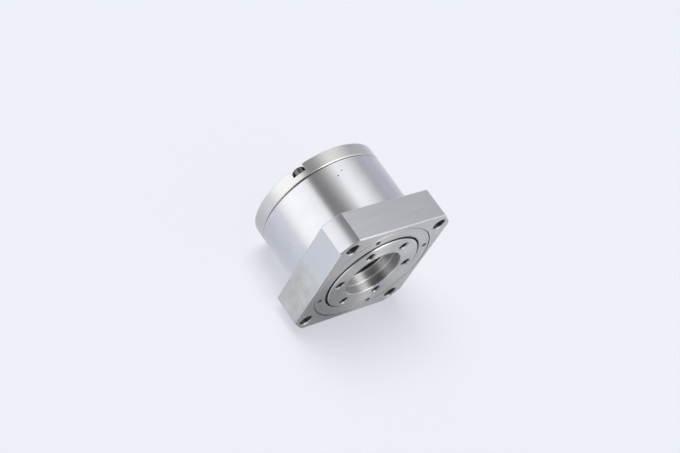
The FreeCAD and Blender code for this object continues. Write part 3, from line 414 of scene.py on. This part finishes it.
class Skin:
    """The running colour, roughness and relief of a steel piece, laid on zone by zone."""

    def __init__(self, wires, colour, roughness, relief):
        self.wires = wires
        self.colour = opaque(colour)
        self.roughness = roughness
        self.relief = relief

    def over(self, zone, colour=None, roughness=None, relief=None):
        """Lay another finish over a zone."""
        if colour is not None:
            self.colour = self.wires.tint(zone, self.colour, opaque(colour))
        if roughness is not None:
            self.roughness = self.wires.blend(zone, self.roughness, roughness)
        if relief is not None:
            self.relief = self.wires.blend(zone, self.relief, relief)

    def shade(self, noise, low, high, zone=1.0):
        """Make the colour of a zone lighter and darker by noise."""
        self.colour = self.wires.mottle(self.colour, noise, low, high, zone)

    def finish(self, lay, depth):
        """The material, with the relief standing so many millimetres deep and the lay round the axis."""
        wires = self.wires
        shader = wires.add("ShaderNodeBsdfPrincipled", {
            "Base Color": self.colour,
            "Metallic": 1.0,
            "Roughness": self.roughness,
            "Normal": wires.bump(self.relief, depth),
            "Anisotropic": lay,
            "Anisotropic Rotation": QUARTER,
        })
        if lay:
            tangent = wires.add("ShaderNodeTangent", direction_type="RADIAL", axis="Y")
            wires.tree.links.new(tangent.outputs[0], shader.inputs["Tangent"])
        return wires.surface(shader)


# Finishes


def lay_stains_and_side_light(skin, place, sides, steel):
    """Stain two sides of the flange and paint them lighter than the top and bottom as painted light, turn
    their upper part lighter and bluer, and speck them and the barrel behind.
    """
    wires = skin.wires
    skin.over(sides, steel.stained_and_lit, steel.milled_roughness, wires.noise(place.point, size=0.8, detail=4.0))
    clouds = wires.noise(place.point, size=4.5, detail=4.0, roughness=0.65)
    skin.shade(clouds, low=0.89, high=1.07, zone=sides)
    specks = wires.above(wires.noise(place.point, size=0.7), SPECK_LIMIT)
    behind = wires.between(place.y, FLANGE_BACK, FLANGE_BACK + STAIN_REACH)
    handled = wires.both(behind, wires.below(place.z, STAIN_TOP))
    for zone, plain in ((sides, steel.stained_and_lit), (handled, steel.ground)):
        skin.over(wires.both(zone, specks), tuple(SPECK_SHADE * part for part in plain))
    # The sides turn lighter and bluer towards the top, along an uneven line
    edge_wobble = wires.spread(wires.noise(place.point, size=6.0), low=-UPPER_EDGE_WOBBLE, high=UPPER_EDGE_WOBBLE)
    lighter_upper = wires.rescale(wires.calculate("ADD", place.z, edge_wobble), LIGHTER_UPPER_FROM, LIGHTER_UPPER_TO)
    skin.over(wires.both(sides, lighter_upper), steel.lighter_upper)


def housing_steel(name, steel):
    """Ground barrel and corners, milled top and bottom, left and right sides with stains and painted
    lighter, turned front, bright edges, and painted shade in the holes, the gap round the ring and the
    seam.
    """
    wires = Wiring(name)
    place = Place(wires)
    front = wires.below(place.y, SKIN)
    back = wires.between(place.y, FLANGE_BACK - SKIN, FLANGE_BACK + SKIN)
    milled = wires.above(wires.calculate("ABSOLUTE", place.z), FLANGE_HALF - SKIN)
    # The left and right sides, which carry stains and painted light
    stained_and_lit = wires.above(wires.calculate("ABSOLUTE", place.x), FLANGE_HALF - SKIN)
    front_edges = wires.between(place.y, SKIN, EDGE_BREAK - SKIN)
    back_edges = wires.between(place.y, FLANGE_BACK - EDGE_BREAK + SKIN, FLANGE_BACK - SKIN)
    mouths = wires.both(place.in_holes(FLANGE_HOLES, EDGE_BREAK + SKIN), front_edges)
    ring_seat = wires.below(place.radius, RING_RADIUS + FIT_GAP)
    groove = wires.both(ring_seat, wires.above(place.y, GROOVE_DEPTH))
    rings = place.round_marks(spacing=1.0, stretch=0.8)
    streaks = place.straight_marks(spacing=0.6)
    skin = Skin(wires, steel.ground, steel.ground_roughness, place.round_marks(spacing=0.3))
    skin.shade(wires.noise(place.point, size=5.0), low=0.975, high=1.02)
    skin.shade(place.round_marks(spacing=0.5), low=0.98, high=1.02)
    for face in (front, back):
        skin.over(face, steel.flange_face, steel.turned_roughness, rings)
    skin.shade(rings, low=0.93, high=1.06, zone=front)
    skin.over(milled, steel.milled, steel.milled_roughness, streaks)
    skin.shade(streaks, low=0.94, high=1.05, zone=milled)
    lay_stains_and_side_light(skin, place, stained_and_lit, steel)
    skin.over(wires.either(front_edges, back_edges), steel.edge, steel.ground_roughness)
    skin.over(mouths, steel.mouth, steel.turned_roughness)
    # Painted shade in the flange's holes, in the gap round the retaining ring, and along the seam with the
    # end ring
    for dark in (place.in_holes(FLANGE_HOLES), groove, wires.above(place.y, SEAM - SEAM_LINE)):
        skin.over(dark, steel.hole, steel.hole_roughness)
    for pit in BARREL_PITS:
        skin.over(place.near(pit, PIT_RADIUS), steel.hole)
    return skin.finish(steel.lay, depth=0.001)


def ring_steel(name, steel):
    """Turned retaining ring, with painted shade in its four spanner holes and in the groove round it."""
    wires = Wiring(name)
    place = Place(wires)
    rings = place.round_marks(spacing=0.8, stretch=0.8)
    inwards = wires.above(place.y, SKIN)
    groove = wires.both(wires.above(place.radius, RING_RADIUS - GROOVE_DEPTH), inwards)
    spanner_holes = wires.both(place.in_holes(SPANNER_HOLES, SPANNER_BREAK + SKIN), inwards)
    skin = Skin(wires, steel.ring_face, steel.turned_roughness, rings)
    skin.shade(rings, low=0.88, high=1.12)
    skin.over(inwards, steel.mouth, steel.turned_roughness)
    # Painted shade in the groove round the ring and in the spanner holes
    for dark in (groove, spanner_holes):
        skin.over(dark, steel.hole, steel.hole_roughness)
    return skin.finish(steel.lay, depth=0.002)


def disc_steel(name, steel):
    """Turned output disc with bright edges, a bore whose deep wall is painted lighter as painted light
    behind a darker pilot, and painted shade on the bore's floor, in the gap round the disc and in the
    tapped holes.
    """
    wires = Wiring(name)
    place = Place(wires)
    inwards = wires.above(place.y, DISC_FACE + SKIN)
    tapped = wires.above(place.y, DISC_FACE + MOUTH_BREAK - SKIN)
    bore = wires.both(wires.below(place.radius, PILOT_RADIUS + SKIN), inwards)
    pilot = wires.both(bore, wires.below(place.y, PILOT_FLOOR - SKIN))
    deep = wires.above(place.y, THROAT_FLOOR - SKIN)
    floor = wires.both(wires.below(place.radius, THROAT_RADIUS - THROAT_LIP), deep)
    mouths = wires.both(place.in_holes(OUTPUT_HOLES, MOUTH_BREAK + SKIN), inwards)
    gap = wires.both(wires.above(place.radius, DISC_RADIUS - FIT_GAP), inwards)
    rings = place.round_marks(spacing=0.8, stretch=0.8)
    skin = Skin(wires, steel.disc_face, steel.disc_roughness, rings)
    skin.shade(rings, low=0.92, high=1.08)
    skin.over(inwards, steel.edge, steel.ground_roughness)
    skin.over(mouths, steel.mouth, steel.turned_roughness)
    # Painted light: the deep wall of the bore is painted lighter, so that it looks lit
    skin.over(bore, steel.bore, steel.bore_roughness)
    skin.over(pilot, steel.pilot)
    # Painted shade on the bore's floor, in the gap round the disc and in the tapped holes
    for dark in (floor, gap, wires.both(place.in_holes(OUTPUT_HOLES), tapped)):
        skin.over(dark, steel.hole, steel.hole_roughness)
    return skin.finish(steel.disc_lay, depth=0.002)


def end_ring_steel(name, steel):
    """Turned end ring, a little warmer than the barrel, with painted shade in its tapped holes and at the
    seam.
    """
    wires = Wiring(name)
    place = Place(wires)
    inside = wires.below(place.radius, BARREL_RADIUS - END_RING_RIM)
    tapped = wires.both(place.in_holes(MOTOR_HOLES), wires.below(place.y, BACK - SKIN))
    rings = place.round_marks(spacing=0.45)
    skin = Skin(wires, steel.end_ring, steel.end_ring_roughness, rings)
    skin.shade(rings, low=0.95, high=1.04)
    skin.over(inside, steel.flange_face, steel.turned_roughness)
    # Painted shade in the tapped holes
    skin.over(tapped, steel.hole, steel.hole_roughness)
    skin.over(wires.below(place.y, SEAM + SEAM_BREAK - SKIN), steel.edge, steel.ground_roughness)
    # Painted shade at the seam with the housing
    skin.over(wires.below(place.y, SEAM + SKIN), steel.hole, steel.hole_roughness)
    return skin.finish(steel.end_ring_lay, depth=0.001)


def turned_steel(name, colour, roughness, lay, spacing=0.5):
    """Plain turned steel, with marks round the axis."""
    wires = Wiring(name)
    place = Place(wires)
    rings = place.round_marks(spacing)
    skin = Skin(wires, colour, roughness, rings)
    skin.shade(rings, low=0.92, high=1.06)
    skin.shade(wires.noise(place.point, size=4.0, detail=3.0), low=0.95, high=1.04)
    return skin.finish(lay, depth=0.0015)


def polished_steel(name, colour, roughness):
    """Hardened and polished steel, hardly marked."""
    wires = Wiring(name)
    place = Place(wires)
    patches = wires.noise(place.point, size=0.6, detail=3.0)
    skin = Skin(wires, colour, wires.spread(patches, low=roughness * 0.7, high=roughness * 1.5), patches)
    skin.shade(wires.noise(place.point, size=2.0), low=0.96, high=1.03)
    return skin.finish(lay=0.0, depth=0.0004)


def black_oxide(name, trim):
    """Blackened screws, worn a little grey."""
    wires = Wiring(name)
    place = Place(wires)
    grain = wires.noise(place.point, size=0.15, detail=3.0)
    wear = wires.noise(place.point, size=0.5, detail=4.0, roughness=0.7)
    skin = Skin(wires, trim.oxide, wires.spread(grain, low=0.16, high=0.26), grain)
    skin.over(wires.spread(wear, low=-0.3, high=0.55), trim.worn)
    return skin.finish(lay=0.0, depth=0.002)


def moulded(name, colour, roughness, grain_size, depth):
    """Moulded rubber or nylon with a fine grain."""
    wires = Wiring(name)
    place = Place(wires)
    grain = wires.noise(place.point, grain_size, detail=3.0, roughness=0.6)
    patches = wires.noise(place.point, size=1.5, detail=3.0)
    return wires.surface(wires.add("ShaderNodeBsdfPrincipled", {
        "Base Color": wires.mottle(opaque(colour), patches, low=0.85, high=1.15),
        "Roughness": wires.spread(grain, low=roughness * 0.9, high=roughness * 1.1),
        "Normal": wires.bump(grain, depth),
    }))


def dress(material, *nodes):
    """Give pieces of the gearbox their finish."""
    for name in nodes:
        frame["nodes"][name].material_slots[0].material = material


# New pieces


def new_piece(bm, name, material):
    """Close a bmesh into a piece with one finish."""
    mesh = bpy.data.meshes.new(name)
    bm.to_mesh(mesh)
    bm.free()
    mesh.materials.append(material)
    piece = bpy.data.objects.new(name, mesh)
    bpy.context.scene.collection.objects.link(piece)
    return piece


def wind_thread(bm, mouth, inwards, radius, pitch, length, ridge, steps):
    """One thread: a triangle wound round the hole's axis from its mouth inwards, with closed ends."""
    sideways = Vector((1, 0, 0))
    root = sideways * (radius * THREAD_ROOT)
    flank = inwards * (pitch * THREAD_FLANK)
    corners = (mouth + root - flank, mouth + sideways * (radius - ridge), mouth + root + flank)
    points = [bm.verts.new(corner) for corner in corners]
    first_end = [bm.edges.new((points[n - 1], points[n])) for n in range(len(points))]
    turns = math.floor(length / pitch)
    wound = bmesh.ops.spin(
        bm, geom=points + first_end, cent=mouth, axis=inwards, dvec=inwards * (pitch / steps),
        angle=FULL_TURN * turns, steps=turns * steps, use_merge=False)
    last_end = [item for item in wound["geom_last"] if isinstance(item, bmesh.types.BMEdge)]
    for end in (first_end, last_end):
        bmesh.ops.contextual_create(bm, geom=end)


def cut_threads(name, ring, face, inwards, pitch, length, material, body):
    """Threads in a ring of tapped holes, as one piece that rides on a body."""
    threads = bpy.context.scene.gearbox_threads
    ring_radius, hole_radius, count, first_angle = ring
    bm = bmesh.new()
    for number in range(count):
        angle = first_angle + FULL_TURN * number / count
        outwards = Vector((math.cos(angle), 0, math.sin(angle)))
        mouth = (outwards * ring_radius + AXIS * face) * MM + inwards * threads.lead_in
        wind_thread(bm, mouth, inwards, hole_radius * MM, pitch, length, threads.ridge, threads.steps)
    bmesh.ops.recalc_face_normals(bm, faces=bm.faces)
    piece = new_piece(bm, name, material)
    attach(piece, body)


# Operators for the pieces


class GEARBOX_OT_housing(bpy.types.Operator):
    """Finish the housing: ground barrel, milled sides and turned front"""

    bl_idname = "gearbox.housing"
    bl_label = "Finish Housing"

    def execute(self, context):
        dress(housing_steel("ground_steel", context.scene.gearbox_steel), "housing")
        return {"FINISHED"}


class GEARBOX_OT_retaining_ring(bpy.types.Operator):
    """Finish the turned ring that holds the output bearing"""

    bl_idname = "gearbox.retaining_ring"
    bl_label = "Finish Retaining Ring"

    def execute(self, context):
        dress(ring_steel("turned_steel", context.scene.gearbox_steel), "retainer_ring")
        return {"FINISHED"}


class GEARBOX_OT_output_disc(bpy.types.Operator):
    """Finish the output disc and cut the threads in its six holes"""

    bl_idname = "gearbox.output_disc"
    bl_label = "Finish Output Disc"

    def execute(self, context):
        steel = context.scene.gearbox_steel
        threads = context.scene.gearbox_threads
        dress(disc_steel("output_steel", steel), "output_flange")
        # Threads painted dark, as painted shade inside the holes
        thread_shade = turned_steel("output_thread_steel", steel.thread, steel.turned_roughness, lay=0.0)
        cut_threads(
            "output_thread_turns", OUTPUT_HOLES, DISC_FACE, AXIS,
            threads.output_pitch, threads.output_length, thread_shade, "output")
        return {"FINISHED"}


class GEARBOX_OT_end_ring(bpy.types.Operator):
    """Finish the toothed end ring and cut the threads in its four motor holes"""

    bl_idname = "gearbox.end_ring"
    bl_label = "Finish End Ring"

    def execute(self, context):
        steel = context.scene.gearbox_steel
        threads = context.scene.gearbox_threads
        dress(end_ring_steel("end_ring_steel", steel), "circular_spline")
        # Threads painted dark, as painted shade inside the holes
        thread_shade = turned_steel("motor_thread_steel", steel.thread, steel.turned_roughness, lay=0.0)
        cut_threads(
            "motor_thread_turns", MOTOR_HOLES, BACK, -AXIS,
            threads.motor_pitch, threads.motor_length, thread_shade, "housing")
        return {"FINISHED"}


class GEARBOX_OT_rubber(bpy.types.Operator):
    """Finish the seals and the plug in the bore"""

    bl_idname = "gearbox.rubber"
    bl_label = "Finish Seals and Plug"

    def execute(self, context):
        trim = context.scene.gearbox_trim
        rubber = moulded("black_rubber", trim.rubber, trim.rubber_roughness, grain_size=0.12, depth=0.006)
        dress(rubber, "output_seal", "bore_plug", "spline_seal_ring")
        return {"FINISHED"}


class GEARBOX_OT_output_bearing(bpy.types.Operator):
    """Finish the crossed roller bearing of the output, and the dowels of the same hard steel"""

    bl_idname = "gearbox.output_bearing"
    bl_label = "Finish Output Bearing"

    def execute(self, context):
        steel = context.scene.gearbox_steel
        trim = context.scene.gearbox_trim
        hard = polished_steel("bearing_steel", steel.bearing, steel.bearing_roughness)
        dress(hard, "bearing_outer_ring_front", "bearing_outer_ring_rear", "crossed_rollers")
        dress(hard, "end_ring_dowels")
        nylon = moulded("spacer_plastic", trim.nylon, trim.spacer_roughness, grain_size=0.2, depth=0.004)
        dress(nylon, "roller_spacers")
        return {"FINISHED"}


class GEARBOX_OT_cup(bpy.types.Operator):
    """Finish the flexible toothed cup and its clamp ring"""

    bl_idname = "gearbox.cup"
    bl_label = "Finish Cup"

    def execute(self, context):
        steel = context.scene.gearbox_steel
        lay = steel.inner_lay
        spring = turned_steel("spring_steel", steel.cup, steel.ground_roughness, lay, spacing=0.3)
        dress(spring, "flexspline")
        dress(turned_steel("clamp_steel", steel.hub, steel.turned_roughness, lay), "cup_clamp_ring")
        return {"FINISHED"}


class GEARBOX_OT_screws(bpy.types.Operator):
    """Finish the blackened screws"""

    bl_idname = "gearbox.screws"
    bl_label = "Finish Screws"

    def execute(self, context):
        oxide = black_oxide("black_screw", context.scene.gearbox_trim)
        dress(oxide, "cup_screws", "end_ring_screws", "hub_screws", "hub_grub_screws")
        return {"FINISHED"}


class GEARBOX_OT_wave_generator(bpy.types.Operator):
    """Finish the oval cam and the hub for the motor shaft"""

    bl_idname = "gearbox.wave_generator"
    bl_label = "Finish Wave Generator"

    def execute(self, context):
        steel = context.scene.gearbox_steel
        lay = steel.inner_lay
        cam = turned_steel("cam_steel", steel.cam, steel.turned_roughness, lay, spacing=0.9)
        dress(cam, "wave_generator_cam")
        dress(turned_steel("hub_steel", steel.hub, steel.turned_roughness, lay), "wave_generator_hub")
        return {"FINISHED"}


class GEARBOX_OT_wave_bearing(bpy.types.Operator):
    """Finish the thin ball bearing on the cam"""

    bl_idname = "gearbox.wave_bearing"
    bl_label = "Finish Wave Bearing"

    def execute(self, context):
        steel = context.scene.gearbox_steel
        trim = context.scene.gearbox_trim
        lay = steel.inner_lay
        races = turned_steel("race_steel", steel.bearing, steel.race_roughness, lay, spacing=0.25)
        dress(races, "wave_bearing_inner_race", "wave_bearing_outer_race")
        dress(polished_steel("ball_steel", steel.ball, steel.ball_roughness), "wave_bearing_balls")
        nylon = moulded("cage_plastic", trim.nylon, trim.cage_roughness, grain_size=0.25, depth=0.004)
        dress(nylon, "wave_bearing_cage")
        return {"FINISHED"}


# Stage

# Brightness of the tent's cloth by degrees round the gearbox, from its right over its top to its left
BACK_TONES = (
    (0, 0.52),
    (12, 0.58),
    (24, 0.61),
    (36, 0.43),
    (49, 0.69),
    (66, 0.99),
    (86, 1.10),
    (98, 0.69),
    (110, 0.34),
    (123, 0.24),
    (132.5, 0.24),
    (133.5, 1.34),
    (160, 1.45),
    (180, 1.45),
)
FRONT_TONES = (
    (0, 0.35),
    (27, 0.90),
    (47, 1.15),
    (67, 3.00),
    (90, 3.45),
    (92, 0.14),
    (155, 0.14),
    (168, 0.45),
    (180, 0.55),
)

# The cloth is cool on the right, and turns white between these degrees
WHITE = (1.0, 1.0, 1.0)
COOL = (0.99, 0.995, 1.13)
COOL_FADE = (24, 50)

# Sizes of the stage, in metres
FLOOR = low_corner("housing").z * MM
TABLE_HALF = 2.0
TENT_HALF_LENGTH = 2.0
SHADOW_MAT_LIFT = 0.0003

# Straight steps round the tent and round a painted-shadow mat
TENT_STEPS = 72
SHADOW_MAT_STEPS = 48

# Where the table turns into the background, and the tent's back tones into its front ones, in metres
TABLE_FADE = (0.35, 0.9)
FRONT_FADE = (0.05, -0.05)

# Glowing cards that stand on the table along the gearbox, with their tones at the foot and the top
CARDS = {
    "white_card": {
        "x": -0.105, "high": 0.008, "front": -0.25, "back": 0.45, "tones": (1.05, 1.43), "tint": WHITE},
    "grey_card": {
        "x": 0.15, "high": 0.0, "front": -0.03, "back": 0.45, "tones": (0.62, 0.61), "tint": COOL},
}

# Painted shadow: round glowing mats on the table that only reflections see. They are darker in the middle,
# where the gearbox shades the table, and cut straight at the back. Each lists its tones in the middle and
# at the rim
SHADOW_MATS = {
    "front_mat": {"centre": (-0.005, -0.004), "radius": 0.032, "back": 0.0, "tones": (0.37, 0.76)},
    "left_mat": {"centre": (-0.024, 0.042), "radius": 0.034, "back": 0.08, "tones": (0.75, 0.97)},
}
SUN_FROM = Vector((-0.16, 0.28, 0.85))
CAMERA_TARGET = Vector((-0.0044, 0.0182, 0.0047))
SENSOR_WIDTH = 36.0
NEAR_CLIP = 0.01


def tone_ramp(wires, share, tones):
    """A ramp of grey tones over half a turn."""
    ramp = wires.add("ShaderNodeValToRGB", {0: share})
    stops = ramp.color_ramp.elements
    while len(stops) < len(tones):
        stops.new(1.0)
    for stop, (degrees, tone) in zip(stops, tones):
        stop.position = degrees / HALF_TURN_DEGREES
        stop.color = opaque((tone, tone, tone))
    return ramp.outputs[0]


def tent_cloth(stage):
    """Glowing cloth with bright panels and a dark strip between them, which differ before and behind."""
    wires = Wiring("tent_cloth")
    x, y, z = wires.parts(wires.here())
    from_top = wires.calculate("ARCTAN2", wires.calculate("MULTIPLY", x, -1.0), z)
    share = wires.calculate("ADD", wires.calculate("DIVIDE", from_top, math.pi), 0.5)
    front = wires.rescale(y, *FRONT_FADE)
    tone = wires.tint(front, tone_ramp(wires, share, BACK_TONES), tone_ramp(wires, share, FRONT_TONES))
    start, end = (degrees / HALF_TURN_DEGREES for degrees in COOL_FADE)
    cool = wires.rescale(share, start, end, low=1.0, high=0.0)
    return wires.surface(wires.glow(wires.tint(cool, tone, opaque(COOL), "MULTIPLY"), stage.tent_level))


def card_paper(name, card):
    """A glowing card, of one tone at its foot and another at its top."""
    wires = Wiring(name)
    height = wires.parts(wires.here())[2]
    tone = wires.rescale(height, FLOOR, card["high"], *card["tones"])
    return wires.surface(wires.glow(opaque(card["tint"]), tone))


def shadow_mat_cloth(name, mat, stage):
    """Glowing cloth, darker towards the middle, as a painted shadow that only reflections see."""
    wires = Wiring(name)
    away = wires.vector("DISTANCE", wires.here(), (*mat["centre"], FLOOR)).outputs["Value"]
    tone = wires.rescale(away, 0.0, mat["radius"], *mat["tones"])
    return wires.surface(wires.glow(opaque(stage.background), tone))


def table_top(stage):
    """Pale table that keeps the shadow near the gearbox and turns into the background further off."""
    wires = Wiring("table_top")
    away = wires.vector("LENGTH", wires.here()).outputs["Value"]
    far = wires.rescale(away, *TABLE_FADE)
    black = opaque((0.0, 0.0, 0.0))
    matt = wires.add("ShaderNodeBsdfDiffuse", {0: wires.tint(far, opaque(stage.table), black)})
    strength = wires.both(wires.looked_at(), wires.blend(far, stage.glow, 1.0))
    glow = wires.glow(opaque(stage.background), strength)
    return wires.surface(wires.add("ShaderNodeAddShader", {0: matt.outputs[0], 1: glow.outputs[0]}))


def mirrored_piece(bm, name, material):
    """A piece of the stage that only reflections see, and that shades and lights nothing else."""
    piece = new_piece(bm, name, material)
    piece.visible_camera = False
    piece.visible_diffuse = False
    piece.visible_shadow = False


def make_table(stage):
    """A flat square of table under the gearbox."""
    bm = bmesh.new()
    place = Matrix.Translation((0, 0, FLOOR))
    bmesh.ops.create_grid(bm, x_segments=1, y_segments=1, size=TABLE_HALF, matrix=place)
    new_piece(bm, "table", table_top(stage))


def make_tent(stage):
    """A half cylinder of cloth over the table, along the gearbox's axis."""
    bm = bmesh.new()
    ends = [bm.verts.new((stage.tent_radius, y, 0)) for y in (-TENT_HALF_LENGTH, TENT_HALF_LENGTH)]
    edge = bm.edges.new(ends)
    bmesh.ops.spin(
        bm, geom=ends + [edge], cent=(0, 0, 0), axis=-AXIS, angle=math.pi, steps=TENT_STEPS,
        use_merge=False)
    mirrored_piece(bm, "light_tent", tent_cloth(stage))


def make_card(name, card):
    """A low card that stands on the table along the gearbox."""
    bm = bmesh.new()
    foot = [bm.verts.new((card["x"], y, FLOOR)) for y in (card["front"], card["back"])]
    edge = bm.edges.new(foot)
    raised = bmesh.ops.extrude_edge_only(bm, edges=[edge])
    top = [item for item in raised["geom"] if isinstance(item, bmesh.types.BMVert)]
    bmesh.ops.translate(bm, verts=top, vec=(0, 0, card["high"] - FLOOR))
    mirrored_piece(bm, name, card_paper(name, card))


def make_shadow_mat(name, mat, stage):
    """A round mat of glowing cloth on the table: a painted shadow that metal mirrors as the dark under the
    gearbox.
    """
    bm = bmesh.new()
    place = Matrix.Translation((*mat["centre"], FLOOR + SHADOW_MAT_LIFT))
    bmesh.ops.create_circle(bm, cap_ends=True, segments=SHADOW_MAT_STEPS, radius=mat["radius"], matrix=place)
    whole = [*bm.verts, *bm.edges, *bm.faces]
    bmesh.ops.bisect_plane(bm, geom=whole, plane_co=AXIS * mat["back"], plane_no=AXIS, clear_outer=True)
    mirrored_piece(bm, name, shadow_mat_cloth(name, mat, stage))


def make_sun(stage):
    """A broad soft sun, high and a little behind, for the shadow on the table."""
    data = bpy.data.lights.new("soft_sun", "SUN")
    data.energy = stage.sun_strength
    data.angle = stage.sun_spread
    sun = bpy.data.objects.new("soft_sun", data)
    sun.matrix_world = SUN_FROM.to_track_quat("Z", "Y").to_matrix().to_4x4()
    sun.visible_glossy = False
    bpy.context.scene.collection.objects.link(sun)


def light_world(stage):
    """The pale surround beyond the tent, which lights the table evenly."""
    wires = Wiring("pale_surround", "worlds")
    strength = wires.blend(wires.looked_at(), stage.ambient, 1.0)
    surround = wires.add("ShaderNodeBackground", {0: opaque(stage.background), 1: strength})
    wires.add("ShaderNodeOutputWorld", {0: surround.outputs[0]})
    bpy.context.scene.world = wires.owner


def set_camera(stage):
    """The camera at the photograph's place, leaning as it did."""
    data = bpy.data.cameras.new("camera")
    data.sensor_width = SENSOR_WIDTH
    data.lens = stage.lens
    data.clip_start = NEAR_CLIP
    camera = bpy.data.objects.new("camera", data)
    level = math.cos(stage.elevation)
    away = Vector((
        math.sin(stage.azimuth) * level,
        -math.cos(stage.azimuth) * level,
        math.sin(stage.elevation),
    ))
    aim = away.to_track_quat("Z", "Y").to_matrix().to_4x4()
    lean = Matrix.Rotation(stage.roll, 4, "Z")
    camera.matrix_world = Matrix.Translation(CAMERA_TARGET + away * stage.distance) @ aim @ lean
    bpy.context.scene.collection.objects.link(camera)
    bpy.context.scene.camera = camera


class GEARBOX_OT_stage(bpy.types.Operator):
    """Set the gearbox on a pale table under a light tent, and place the sun and the camera"""

    bl_idname = "gearbox.stage"
    bl_label = "Set Stage"

    def execute(self, context):
        stage = context.scene.gearbox_stage
        make_table(stage)
        make_tent(stage)
        for name, card in CARDS.items():
            make_card(name, card)
        # Painted shadow: mats that only reflections see
        for name, mat in SHADOW_MATS.items():
            make_shadow_mat(name, mat, stage)
        make_sun(stage)
        light_world(stage)
        set_camera(stage)
        context.scene.view_settings.view_transform = "Standard"
        return {"FINISHED"}


# Add-on


OPERATORS = (
    GEARBOX_OT_housing,
    GEARBOX_OT_retaining_ring,
    GEARBOX_OT_output_disc,
    GEARBOX_OT_end_ring,
    GEARBOX_OT_rubber,
    GEARBOX_OT_output_bearing,
    GEARBOX_OT_cup,
    GEARBOX_OT_screws,
    GEARBOX_OT_wave_generator,
    GEARBOX_OT_wave_bearing,
    GEARBOX_OT_stage,
)


class GEARBOX_PT_finish(bpy.types.Panel):
    """Lists the steps that finish the gearbox"""

    bl_label = "Gearbox"
    bl_idname = "GEARBOX_PT_finish"
    bl_space_type = "VIEW_3D"
    bl_region_type = "UI"
    bl_category = "Gearbox"

    def draw(self, context):
        for operator in OPERATORS:
            self.layout.operator(operator.bl_idname)


SETTINGS = {
    "gearbox_steel": GearboxSteel,
    "gearbox_trim": GearboxTrim,
    "gearbox_threads": GearboxThreads,
    "gearbox_stage": GearboxStage,
}


def register():
    for name, group in SETTINGS.items():
        bpy.utils.register_class(group)
        setattr(bpy.types.Scene, name, PointerProperty(type=group))
    for operator in OPERATORS:
        bpy.utils.register_class(operator)
    bpy.utils.register_class(GEARBOX_PT_finish)


def unregister():
    bpy.utils.unregister_class(GEARBOX_PT_finish)
    for operator in reversed(OPERATORS):
        bpy.utils.unregister_class(operator)
    for name, group in SETTINGS.items():
        delattr(bpy.types.Scene, name)
        bpy.utils.unregister_class(group)


def main():
    register()
    bpy.ops.gearbox.housing()
    bpy.ops.gearbox.retaining_ring()
    bpy.ops.gearbox.output_disc()
    bpy.ops.gearbox.end_ring()
    bpy.ops.gearbox.rubber()
    bpy.ops.gearbox.output_bearing()
    bpy.ops.gearbox.cup()
    bpy.ops.gearbox.screws()
    bpy.ops.gearbox.wave_generator()
    bpy.ops.gearbox.wave_bearing()
    bpy.ops.gearbox.stage()


if __name__ == "__main__":
    main()
